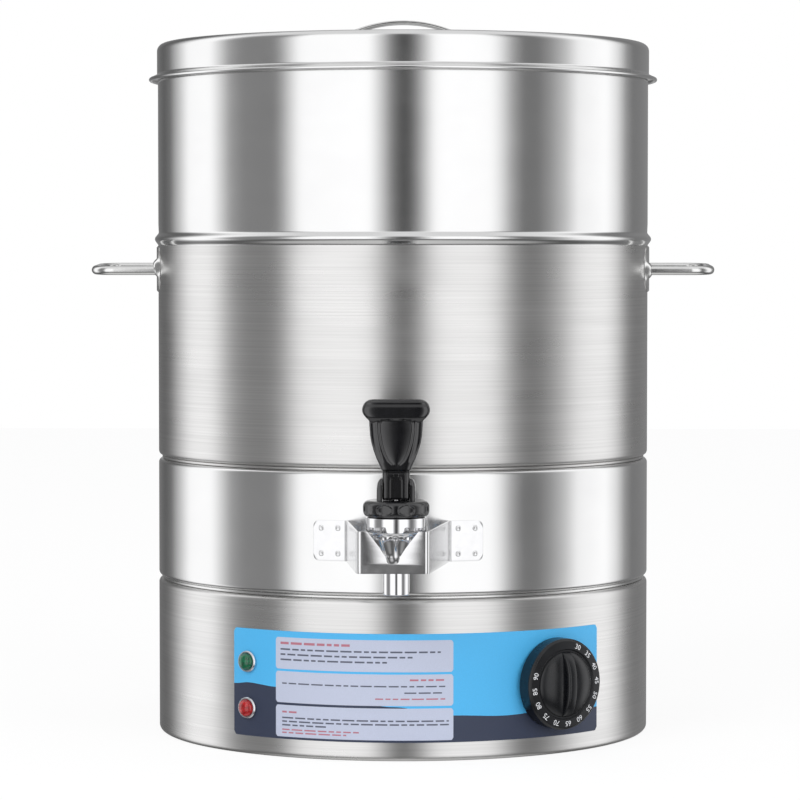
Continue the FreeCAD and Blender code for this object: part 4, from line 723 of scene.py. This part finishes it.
def make_bonnet():
    """The black ring with pressed oval dimples, and the two cheeks beside the lever."""
    radius, low, top, edge = 21.2, RING_LOW, RING_TOP, 4.0
    profile = rounded([(2.6, low), (radius, low, edge), (radius, top, edge), (2.6, top)], steps=10)
    middle = (low + top) / 2
    rows = 14
    extra = [(radius, low + edge + (top - low - 2 * edge) * row / rows) for row in range(1, rows)]
    split = next(i for i, p in enumerate(profile) if p[1] > middle)
    profile = profile[:split] + extra + profile[split:]

    def dimples(turn, reach, height):
        if reach < radius - 2.6:
            return 0.0
        count, half_wide, half_tall, deep = 9, 6.0, 3.5, 0.9
        pitch = 2 * pi / count
        offset = (turn / pitch) % 1.0 - 0.5
        gap = hypot(offset * pitch * radius / half_wide, (height - middle) / half_tall)
        return -deep * (1 - step_between(0.78, 1.0, gap))

    ring = lathe("ring", profile, at(0, TAP_Y, 0), steps=540, swell=dimples)
    cheeks = []
    neck, outer, layers = 8.9, 12.2, 8
    outline = rounded([(-7.5, top - 1), (7.5, top - 1), (7.5, top + 10), (4.0, top + 14.0, 3.0),
                       (-4.0, top + 14.0, 3.0), (-7.5, top + 10)], steps=5)
    for side in (-1, 1):
        sections = []
        for layer in range(layers + 1):
            turn = pi / 2 * layer / layers
            x = side * (neck + (outer - neck) * sin(turn))
            deep = 0.9 + 0.1 * cos(turn)
            tall = 0.55 + 0.45 * cos(turn)
            sections.append([(x, TAP_Y + y * deep, top + (z - top) * tall) for y, z in outline])
        cheeks.append(loft("cheek", sections))
    dress(joined("tap_ring", ring, *cheeks), "black_plastic", "urn", "tap_bonnet")


# The lever: half its width, and how far its front and back lie from the pin, at each height.
LEVER_WIDTHS = [
    (174.9, 8.4), (176.0, 8.7), (193.4, 8.7), (194.2, 9.7), (195.8, 10.1), (197.4, 10.8),
    (201.5, 12.6), (206.4, 14.4), (211.0, 15.7), (215.5, 16.5), (221.0, 16.9), (225.0, 17.1),
]
LEVER_BAR = (231.6, 21.5)
LEVER_TOP = 238.4
LEVER_POWER = 8.0
LEVER_FRONTS = [
    (174.9, 5.0), (176.0, 5.4), (193.2, 5.4), (194.4, 6.8), (198.0, 6.9), (206.0, 6.2),
    (215.0, 5.7), (224.0, 6.2), (228.0, 7.8), (232.5, 8.0), (236.5, 6.6), (238.4, 4.2),
]
LEVER_BACKS = [(174.9, 5.0), (177.0, 6.4), (198.0, 6.4), (215.0, 4.6), (232.0, 4.9), (238.4, 2.6)]


def lever_half_width(level):
    """Half the lever's width: a tapered paddle under a rounded bar."""
    paddle_top = LEVER_WIDTHS[-1][0]
    if level <= paddle_top:
        return straight(LEVER_WIDTHS, level)
    middle, widest = LEVER_BAR
    if level <= middle:
        share = (level - paddle_top) / (middle - paddle_top)
        return LEVER_WIDTHS[-1][1] + (widest - LEVER_WIDTHS[-1][1]) * sin(share * pi / 2)
    share = (level - middle) / (LEVER_TOP - middle)
    return widest - 6.0 * (1 - sqrt(max(1 - share * share, 0)))


def shield_half_width(level):
    """Half the width of the recess in the lever's face, which comes to a rounded point."""
    return straight([(196.6, 0.0), (197.4, 3.2), (199.5, 5.6), (204.0, 8.0), (211.0, 10.2),
                     (219.0, 11.4), (223.2, 11.3), (225.6, 9.8), (226.0, 0.0)], level)


def lever_relief(x, level, half):
    """How far the face of the lever lies behind its smooth front."""
    relief = 0.0
    # the recess with a raised middle
    shield = shield_half_width(level)
    if shield > 0:
        edge = shield - abs(x)
        bulge = 1.0 - min((x / shield) ** 2, 1.0)
        relief += (0.75 - 0.65 * bulge) * step_between(0.0, 1.3, edge)
    # a flute along each side of the paddle
    if 198.0 < level < 226.0:
        fade = step_between(198, 202, level) * (1 - step_between(223, 226, level))
        middle = half * 0.84
        flute = max(1 - ((abs(x) - middle) / 1.9) ** 2, 0.0)
        relief += 0.55 * fade * flute
    # the slot between two lines on the narrow foot
    if level < 193.0:
        arch = 3.6 * sqrt(max(1 - max(level - 187.0, 0) ** 2 / 16.0, 0))
        relief += 2.2 * step_between(0.0, 0.7, arch - abs(x)) if arch > 0 else 0.0
        relief += 0.6 * (1 - step_between(0.2, 0.7, abs(abs(x) - 5.6)))
    # the line across the top of the foot
    if 190.6 < level < 193.2:
        relief += 0.5 * (1 - step_between(0.2, 0.9, abs(level - 192.0)))
    return relief


def make_lever():
    """The lever, lofted from rounded sections and carved on its face."""
    front_steps, back_steps = 84, 28
    pitch, top_pitch, top_start = 0.45, 0.3, 235
    levels = [LEVER_WIDTHS[0][0]]
    while levels[-1] < LEVER_TOP - top_pitch:
        levels.append(levels[-1] + (top_pitch if levels[-1] > top_start else pitch))
    levels.append(LEVER_TOP)

    def bow(across):
        return (1 - abs(across) ** LEVER_POWER) ** (1 / LEVER_POWER)

    sections = []
    for level in levels:
        points = []
        half = lever_half_width(level)
        front = eased(LEVER_FRONTS, level)
        back = eased(LEVER_BACKS, level)
        for step in range(front_steps):
            turn = pi * (step / front_steps - 0.5)
            across = sin(turn)
            depth = front * bow(across)
            x = half * across
            relief = lever_relief(x, level, half) * step_between(0.0, 2.0, depth)
            points.append((x, TAP_Y - depth + relief, level))
        for step in range(back_steps):
            turn = pi * (0.5 - step / back_steps)
            across = sin(turn)
            points.append((half * across, TAP_Y + back * bow(across), level))
        sections.append(points)
    dress(loft("lever_paddle", sections), "black_plastic", "tap_lever", "tap_lever")


# Tap guard

GUARD_LOW = 130.7
GUARD_HIGH = 157.1
GUARD_WALL = 1.2
GUARD_FRONT = -254.0
GUARD_SKEW = -1.5
FOOT_CORNER = 4.0
# distances from a foot's end at which its sheet has points
FOOT_GAPS = (0.0, 0.15, 0.6, 1.3, 2.2, 3.1, 4.0, 7.0, 11.0, 15.0, 19.0)


def guard_line():
    """The outer line of the bent strip seen from above, from the left foot to the right."""
    half, root_x, bend = 22.7, 33.2, 3.0
    wall_reach = BODY + GUARD_WALL
    foot_angle = radians(18.8)
    root_angle = asin((root_x + 0.6) / wall_reach)
    line = []
    for gap in FOOT_GAPS:
        turn = -foot_angle + gap / wall_reach
        line.append(around(wall_reach, turn))
    line.append(around(wall_reach, -root_angle))
    root = line[-1]
    corners = [line[-2], (root[0], root[1], 1.6), (GUARD_SKEW - half, GUARD_FRONT, bend),
               (GUARD_SKEW + half, GUARD_FRONT, bend), (-root[0], root[1], 1.6)]
    mirrored = [(-x, y) for x, y in reversed(line)]
    corners.append(mirrored[1])
    bent = supported(rounded(corners, steps=8, closed=False))[:-2]
    return line[:-2] + bent + mirrored[2:]


def foot_inset(gap):
    """How much a foot's rounded corner takes off its height at a distance from its end."""
    short = max(FOOT_CORNER - gap, 0.0)
    return FOOT_CORNER - sqrt(FOOT_CORNER ** 2 - short ** 2)


def make_guard():
    """The bent strip with its notch, bright cut edges and spot welds."""
    outline = guard_line()
    rows = 10
    points = []
    for index, (x, y) in enumerate(outline):
        end = min(index, len(outline) - 1 - index)
        inset = foot_inset(FOOT_GAPS[end]) if end < len(FOOT_GAPS) else 0.0
        for row in range(rows + 1):
            share = row / rows
            points.append((x, y, (GUARD_LOW + inset) * (1 - share) + (GUARD_HIGH - inset) * share))
    strip = mesh_object("guard_strip", points, grid_faces(len(outline), rows + 1))
    solid = strip.modifiers.new("wall", "SOLIDIFY")
    solid.thickness = GUARD_WALL * MM
    solid.offset = -1.0
    solid.use_even_offset = True
    notch = notch_tool()
    cut = strip.modifiers.new("notch", "BOOLEAN")
    cut.object = notch
    cut.solver = "EXACT"
    edge = strip.modifiers.new("edge", "BEVEL")
    edge.width = 0.28 * MM
    edge.segments = 2
    edge.angle_limit = radians(50)
    baked = bpy.data.meshes.new_from_object(
        strip.evaluated_get(bpy.context.evaluated_depsgraph_get()))
    for item in (strip, notch):
        bpy.data.objects.remove(item)
    guard = smooth_object("guard_plate", baked)
    dress(joined("guard_bracket", guard, *weld_rings()), "guard_stainless", "urn", "tap_guard")


def notch_tool():
    """The shape that is cut from the guard's front plate: a V that runs into a U."""
    top = GUARD_HIGH
    half = [(17.4, top + 3), (16.0, top, 1.0), (8.1, top - 10.2, 3.0), (4.4, top - 16.0, 2.0),
            (3.6, top - 20.6, 3.4)]
    corners = [(GUARD_SKEW + x, *rest) for x, *rest in half]
    corners += [(GUARD_SKEW - x, *rest) for x, *rest in reversed(half)]
    outline = rounded(corners, steps=6)
    ends = (GUARD_FRONT - 6, GUARD_FRONT + 12)
    return loft("notch_tool", [[(x, y, z) for x, z in outline] for y in ends])


def weld_rings():
    """A small crater with a raised rim at each spot weld."""
    level = (GUARD_LOW + GUARD_HIGH) / 2
    profile = [(AXIS, 0.08), (0.6, 0.10), (1.0, 0.26), (1.3, 0.32), (1.6, 0.22), (1.9, 0.0),
               (1.9, -0.4), (AXIS, -0.4)]
    for side in (-1, 1):
        for angle in (13.2, 17.0):
            for up in (-8.3, 8.3):
                place = on_wall(side * angle, level + up, GUARD_WALL - 0.05)
                yield lathe("weld", profile, place, steps=24)


# Control panel

LABEL_LOW, LABEL_HIGH = 12.5, 83.5
LABEL_START, LABEL_END = -39.9, 50.5
LABEL_OUT = 0.35
PANEL_START, PANEL_END = -28.2, 12.2
INK = 0.03
# how far off the body the back of each printed layer lies
SHEET_BACK, SLATE_BACK, PANEL_BACK, BAR_BACK = 0.05, 0.2, 0.25, 0.3


def rounded_edges(start, end, low, high, radius):
    """Lower and upper edges of a sheet with rounded corners, as functions of the angle."""
    def inset(angle):
        gap = min(angle - start, end - angle) * pi / 180 * BODY
        if gap >= radius:
            return 0.0
        gap = max(gap, 0.0)
        return radius - sqrt(max(radius ** 2 - (radius - gap) ** 2, 0))
    return (lambda angle: low + inset(angle)), (lambda angle: high - inset(angle))


def slate_edge(angle):
    """The height of the curved border between the blue and the slate print."""
    return eased([(-39.9, 46.4), (-35.5, 47.8), (-28.0, 46.3), (-14.0, 41.5), (-1.0, 35.8),
                  (12.0, 30.0), (24.0, 28.6), (37.0, 30.4), (50.5, 28.4)], angle)


def make_label():
    """The printed overlay: blue above, slate below, and pale panels with plain bars."""
    low, high = rounded_edges(LABEL_START, LABEL_END, LABEL_LOW, LABEL_HIGH, 2.5)
    base = sheet_on_wall("label_sheet", LABEL_START, LABEL_END, low, high, BODY + SHEET_BACK,
                         LABEL_OUT - SHEET_BACK - 2 * INK, columns=180)
    dress(base, "label_print", "urn", "control_label")

    def slate_high(angle):
        return max(min(slate_edge(angle), high(angle)), low(angle) + 0.01)

    slate = sheet_on_wall("label_slate", LABEL_START, LABEL_END, low, slate_high,
                          BODY + SLATE_BACK, LABEL_OUT - SLATE_BACK - INK, columns=180)
    dress(slate, "label_print", "urn", ink="slate_ink")
    panels = (("upper", 58.6, 79.4), ("middle", 36.5, 57.1), ("lower", 14.0, 34.9))
    for name, bottom, top in panels:
        edges = rounded_edges(PANEL_START, PANEL_END, bottom, top, 1.6)
        panel = sheet_on_wall("label_panel_" + name, PANEL_START, PANEL_END, *edges,
                              BODY + PANEL_BACK, LABEL_OUT - PANEL_BACK, columns=120)
        dress(panel, "label_print", "urn", ink="pale_ink")
    make_bars()


def flat(level):
    return lambda angle: level


def make_bars():
    """Plain ruled bars on the pale panels, as (level, first angle, last angle, height)."""
    word, gap, least = 1.9, 0.5, 0.4
    thick = LABEL_OUT - BAR_BACK + INK
    rows = {
        "bar_ink": [(71.6, -27.0, 9.4, 1.1), (68.2, -27.0, 3.6, 1.1), (64.8, -27.0, -2.4, 1.1),
                    (49.2, -26.6, 10.4, 0.9), (45.0, 1.4, 10.4, 0.9),
                    (26.6, -26.6, 11.2, 1.0), (24.2, -26.6, 11.2, 1.0), (21.8, -26.6, -16.0, 1.0)],
        "rose_ink": [(75.6, -27.0, -10.6, 1.6), (53.4, 2.6, 10.2, 1.2), (41.0, -5.0, 10.4, 0.9),
                     (30.4, -26.6, -22.6, 1.2), (18.8, -26.6, -8.6, 0.9),
                     (16.8, -26.6, -11.4, 0.9)],
    }
    for ink, bars in rows.items():
        solids = []
        for level, start, end, height in bars:
            low, high = flat(level - height / 2), flat(level + height / 2)
            place = start
            index = 0
            while place < end - least:
                reach = min(word * (1 + 0.45 * sin(7.3 * index + level)), end - place)
                solids.append(sheet_on_wall("bar", place, place + reach, low, high,
                                            BODY + BAR_BACK, thick, columns=3))
                place += reach + gap
                index += 1
        dress(joined("label_bars_" + ink, *solids), "label_print", "urn", ink=ink)


def make_lamp(colour, level):
    """A bright bezel round a domed lens."""
    seat = LABEL_OUT
    profile = rounded([(5.75, seat + 1.0), (5.75, seat + 2.2, 0.25), (6.6, seat + 2.2, 0.3),
                       (7.25, seat + 1.3, 0.4), (7.25, seat), (5.0, seat), (5.0, seat - 24),
                       (AXIS, seat - 24), (AXIS, seat + 1.0)], steps=5)
    bezel = lathe(colour + "_bezel", profile, on_wall(LAMP_ANGLE, level), steps=96)
    dress(bezel, "lamp_bezel", "urn", colour + "_lamp_housing")
    dome = []
    reach, rise = 5.6, 3.4
    for step in range(17):
        turn = pi / 2 * step / 16
        dome.append((max(reach * cos(turn), AXIS), seat + 2.2 + rise * sin(turn)))
    glass = [(AXIS, seat + 1.0), (reach, seat + 1.0)] + dome
    shade = lathe(colour + "_glass", glass, on_wall(LAMP_ANGLE, level), steps=72)
    dress(shade, colour + "_lens", "urn", colour + "_lamp_lens")


# Thermostat knob

# Heights along the knob's own axis, from the body's wall.
KNOB_FACE = 12.4
SUNK = KNOB_FACE - 0.7
DOME_HALF = 21.6
DOME_RISE = 6.8
KNOB_TOP = 20.8


def dome_height(x, y):
    """The knob's centre: two rounded lobes that fall away to the skirt."""
    reach = hypot(x, y) / DOME_HALF
    if reach >= 1:
        return 0.0
    return DOME_RISE * (1 - reach ** 2.4) ** 0.7 * (1 - 0.3 * exp(-(x / 6.5) ** 2))


def make_knob():
    """A flat skirt with a bevel, a lobed dome and an upright grip bar."""
    low = 0.9
    skirt = rounded([(27.4, low), (30.0, low, 0.3), (30.0, KNOB_FACE - 1.9, 1.0),
                     (28.6, KNOB_FACE - 0.5, 0.8), (23.2, KNOB_FACE, 0.3),
                     (22.6, SUNK, 0.3), (21.0, SUNK),
                     (3.05, SUNK), (3.05, low), (6.0, low), (6.0, 5.0), (24.6, 5.0),
                     (27.4, 3.4)], steps=4)
    disc = lathe("disc", skirt, steps=160)
    rings, spokes = 40, 160
    points = [(0, 0, SUNK + dome_height(0, 0))]
    for ring in range(1, rings + 1):
        reach = DOME_HALF * sin(pi / 2 * ring / rings)
        for spoke in range(spokes):
            turn = 2 * pi * spoke / spokes
            x, y = reach * cos(turn), reach * sin(turn)
            points.append((x, y, SUNK + dome_height(x, y)))
    faces = [(0, 1 + spoke, 1 + (spoke + 1) % spokes) for spoke in range(spokes)]
    for a, b, c, d in grid_faces(rings, spokes, wrap_columns=True):
        faces.append((1 + a, 1 + b, 1 + c, 1 + d))
    dome = mesh_object("dome", points, faces)
    knob = joined("knob_cap", disc, dome, grip_bar())
    knob.data.transform(on_wall(KNOB_ANGLE, KNOB_LEVEL))
    dress(knob, "knob_plastic", "knob", "thermostat_knob")
    make_numbers()


def grip_bar():
    """The bar's ends round down to the skirt and its top edges are eased."""
    half, long_half = 4.0, 21.4
    base = KNOB_FACE - 1.2
    stations, sides = 48, 20
    points = []
    for station in range(stations + 1):
        share = 2 * station / stations - 1
        y = long_half * sin(share * pi / 2)
        rise = (KNOB_TOP - base) * (1 - abs(y / long_half) ** 2.4) ** 0.55
        wide = half * (0.86 + 0.14 * (1 - abs(share) ** 2))
        for side in range(sides + 1):
            turn = pi * side / sides
            x = -wide * copysign(abs(cos(turn)) ** 0.45, cos(turn))
            z = base + rise * sin(turn) ** 0.45
            points.append((x, y, z))
    faces = grid_faces(stations + 1, sides + 1, wrap_columns=True)
    return mesh_object("grip", points, faces)


def make_numbers():
    """Plain numbers round the skirt, in equal steps."""
    first_angle, step_angle, ring, size = 22.5, 21.92, 25.8, 4.9
    solids = []
    for index, number in enumerate(range(30, 95, 5)):
        text = bpy.data.curves.new("number", "FONT")
        text.body = str(number)
        text.size = size * MM
        text.align_x = text.align_y = "CENTER"
        text.extrude = 0.06 * MM
        text.resolution_u = 3
        holder = in_scene("number", text)
        bpy.context.view_layer.update()
        mesh = bpy.data.meshes.new_from_object(holder)
        bpy.data.objects.remove(holder)
        turn = radians(first_angle + step_angle * index)
        spot = Vector((ring * sin(turn), ring * cos(turn), KNOB_FACE - 0.22)) * MM
        tip = Matrix.Rotation(radians(-7), 4, "X")
        mesh.transform(Matrix.Translation(spot) @ Matrix.Rotation(-turn, 4, "Z") @ tip)
        solids.append(bpy.data.objects.new("number_mesh", mesh))
    numbers = joined("knob_numbers", *solids)
    numbers.data.transform(on_wall(KNOB_ANGLE, KNOB_LEVEL))
    dress(numbers, "knob_plastic", "knob", ink="number_ink")


# Inside, underneath and behind

def make_element():
    """The heating element: a ring with a rounded elbow down to each leg."""
    ring, level, bend, low = 90.0, 134.0, 12.0, 92.0
    ring_steps, elbow_steps = 96, 8
    stop = radians(150) - bend / ring
    path = []
    for side in (-1, 1):
        top = Vector((*around(ring, side * stop), level))
        along = Vector((side * cos(stop), sin(stop), 0))
        leg = []
        for step in range(elbow_steps + 1):
            turn = pi / 2 * step / elbow_steps
            drop = Vector((0, 0, bend * (1 - cos(turn))))
            leg.append(top + along * bend * sin(turn) - drop)
        leg.append(Vector((leg[-1].x, leg[-1].y, low)))
        if side < 0:
            path += leg[::-1]
            for step in range(1, ring_steps):
                turn = -stop + 2 * stop * step / ring_steps
                path.append(Vector((*around(ring, turn), level)))
        else:
            path += leg
    dress(tube("element_tube", path, 4.0, sides=20), "element_sheath", "urn", "heating_element")


GLAND_LEVEL = 42.0


def make_gland_cap():
    """The gland's outer cap with grip ribs."""
    profile = rounded([(4.5, 12.0), (4.5, 15.0, 0.5), (9.2, 15.0, 1.5), (11.6, 12.0, 0.8),
                       (12.0, 11.0), (12.0, 3.4, 0.4), (8.1, 3.2), (8.1, 12.0)], steps=5)

    def ribs(turn, radius, height):
        if radius < 10.5 or not 3.6 < height < 12.5:
            return 0.0
        return -0.45 * (0.5 - 0.5 * cos(24 * turn))

    cap = lathe("gland_ribs", profile, on_wall(180, GLAND_LEVEL), steps=240, swell=ribs)
    dress(cap, "gland_plastic", "urn", "cable_gland_cap")


def make_gland():
    profile = rounded([(4.5, -14), (4.5, 12.0), (8.0, 12.0, 0.4), (8.0, 3.0), (12.0, 3.0, 0.6),
                       (12.0, 0.1), (8.0, 0.1), (8.0, -14, 0.5)], steps=5)
    barrel = lathe("gland_barrel", profile, on_wall(180, GLAND_LEVEL), steps=96)
    dress(barrel, "gland_plastic", "urn", "cable_gland")


def dress_frame_nodes():
    """Every node of the frame that stays gets its slot's material."""
    for entry in frame["record"]["subparts"]:
        node = frame["nodes"][entry["node"]]
        node.data.materials.clear()
        node.data.materials.append(LOOKS[entry["material_slot"]])


# Studio

EYE_TURN = radians(1.1)
EYE_REACH = 2.33
EYE_LEVEL = 0.3296
EYE_PITCH = radians(2.49)
EYE_YAW = radians(0.051)
LENS = 150.3


def make_camera():
    data = bpy.data.cameras.new("camera")
    data.lens = LENS
    data.sensor_width = 36.0
    camera = in_scene("camera", data)
    camera.location = (*around(EYE_REACH, EYE_TURN), EYE_LEVEL)
    camera.rotation_euler = Euler((pi / 2 - EYE_PITCH, 0, EYE_TURN + EYE_YAW), "XYZ")
    bpy.context.scene.camera = camera


# Light round the object as (angle, strength), 0 towards the camera and positive towards +X.
STUDIO_BANDS = [
    (-180, 0.55), (-168, 0.22), (-148, 0.13), (-138, 0.20), (-127, 0.70), (-117, 1.30),
    (-99, 1.34), (-86, 0.42), (-78, 0.28), (-60, 0.26), (-56, 0.46), (-47, 1.34), (-14, 1.40),
    (-8, 0.72), (-4, 0.24), (1, 0.06), (5, 0.12), (9, 0.44), (16, 1.38), (42, 1.36), (46, 1.10),
    (52, 0.48), (58, 0.21), (66, 0.22), (73, 0.38), (81, 0.66), (90, 1.20), (110, 1.36),
    (119, 1.00), (128, 0.38), (136, 0.22), (180, 0.30),
]


def make_world():
    """Tall soft lights and dark gaps all round the object, on a white background."""
    world = bpy.data.worlds.new("studio")
    bpy.context.scene.world = world
    world.use_nodes = True
    tree = world.node_tree
    tree.nodes.clear()
    node = tree.nodes.new
    link = tree.links.new
    parts = node("ShaderNodeSeparateXYZ")
    link(node("ShaderNodeTexCoord").outputs["Generated"], parts.inputs["Vector"])
    flip = node("ShaderNodeMath")
    flip.operation = "MULTIPLY"
    flip.inputs[1].default_value = -1.0
    link(parts.outputs["Y"], flip.inputs[0])
    turn = node("ShaderNodeMath")
    turn.operation = "ARCTAN2"
    link(parts.outputs["X"], turn.inputs[0])
    link(flip.outputs["Value"], turn.inputs[1])
    spread = fill(node("ShaderNodeMapRange"), From_Min=-pi, From_Max=pi)
    link(turn.outputs["Value"], spread.inputs["Value"])
    ramp = node("ShaderNodeValToRGB")
    elements = ramp.color_ramp.elements
    while len(elements) < len(STUDIO_BANDS):
        elements.new(0.5)
    for element, (angle, light) in zip(elements, STUDIO_BANDS):
        element.position = (angle + 180) / 360
        element.color = (light, light, light * 1.01, 1.0)
    link(spread.outputs["Result"], ramp.inputs["Fac"])
    colour = ramp.outputs["Color"]
    # overhead, the ground below and the table straight below, each over what came before
    for shade, start, end in (((0.9, 0.9, 0.91), 0.55, 0.9), ((0.12, 0.12, 0.12), -0.3, -0.7),
                              ((0.7, 0.7, 0.7), -0.72, -0.92)):
        fade = fill(node("ShaderNodeMapRange"), From_Min=start, From_Max=end)
        fade.interpolation_type = "SMOOTHSTEP"
        link(parts.outputs["Z"], fade.inputs["Value"])
        mix = node("ShaderNodeMix")
        mix.data_type = "RGBA"
        mix.inputs["B"].default_value = (*shade, 1.0)
        link(fade.outputs["Result"], mix.inputs["Factor"])
        link(colour, mix.inputs["A"])
        colour = mix.outputs["Result"]
    studio = fill(node("ShaderNodeBackground"), Strength=0.92)
    link(colour, studio.inputs["Color"])
    white = fill(node("ShaderNodeBackground"), Color=(1, 1, 1, 1), Strength=1.0)
    path = node("ShaderNodeLightPath")
    either = node("ShaderNodeMixShader")
    link(path.outputs["Is Camera Ray"], either.inputs["Fac"])
    link(studio.outputs["Background"], either.inputs[1])
    link(white.outputs["Background"], either.inputs[2])
    out = node("ShaderNodeOutputWorld")
    link(either.outputs["Shader"], out.inputs["Surface"])


def make_floor():
    """A pale floor that keeps a faint shadow. Metal sees the studio beyond it."""
    half = 4.0
    corners = [(-half, -half, 0), (half, -half, 0), (half, half, 0), (-half, half, 0)]
    floor = mesh_object("floor", corners, [(0, 1, 2, 3)], scale=1.0)
    material = bpy.data.materials.new("floor")
    material.use_nodes = True
    tree = material.node_tree
    node = tree.nodes.new
    link = tree.links.new
    shader = fill(tree.nodes["Principled BSDF"], Base_Color=(0.86, 0.86, 0.86, 1), Roughness=0.9)
    glow = fill(node("ShaderNodeEmission"), Strength=1.05)
    path = node("ShaderNodeLightPath")
    share = node("ShaderNodeMath")
    share.operation = "MULTIPLY"
    share.inputs[1].default_value = 0.82
    mix = node("ShaderNodeMixShader")
    link(path.outputs["Is Camera Ray"], share.inputs[0])
    link(share.outputs["Value"], mix.inputs["Fac"])
    link(shader.outputs["BSDF"], mix.inputs[1])
    link(glow.outputs["Emission"], mix.inputs[2])
    link(mix.outputs["Shader"], tree.nodes["Material Output"].inputs["Surface"])
    floor.data.materials.append(material)
    floor.visible_glossy = False


def make_lamp_light(name, spot, size, power):
    """A soft area light that points at the middle of the urn."""
    data = bpy.data.lights.new(name, "AREA")
    data.shape = "RECTANGLE"
    data.size, data.size_y = size
    data.energy = power
    light = in_scene(name, data)
    light.location = spot
    towards = Vector((0, 0, 0.24)) - Vector(spot)
    light.rotation_euler = towards.to_track_quat("-Z", "Y").to_euler()
    light.visible_glossy = False


def make_studio():
    make_camera()
    make_world()
    make_floor()
    make_lamp_light("key", (-1.5, -2.2, 1.9), (1.4, 1.4), 26)
    make_lamp_light("fill", (1.8, -1.8, 1.2), (1.2, 1.6), 16)
    bpy.context.scene.view_settings.view_transform = "Standard"


dress_frame_nodes()
make_skirt()
make_tap_band()
make_middle_band()
make_top_band()
make_tank()
make_lid()
make_lid_handle()
make_handle("right", 1)
make_handle("left", -1)
make_tap_body()
make_bonnet()
make_lever()
make_guard()
make_label()
make_lamp("green", 61.7)
make_lamp("red", 31.0)
make_knob()
make_element()
make_gland()
make_gland_cap()
make_studio()
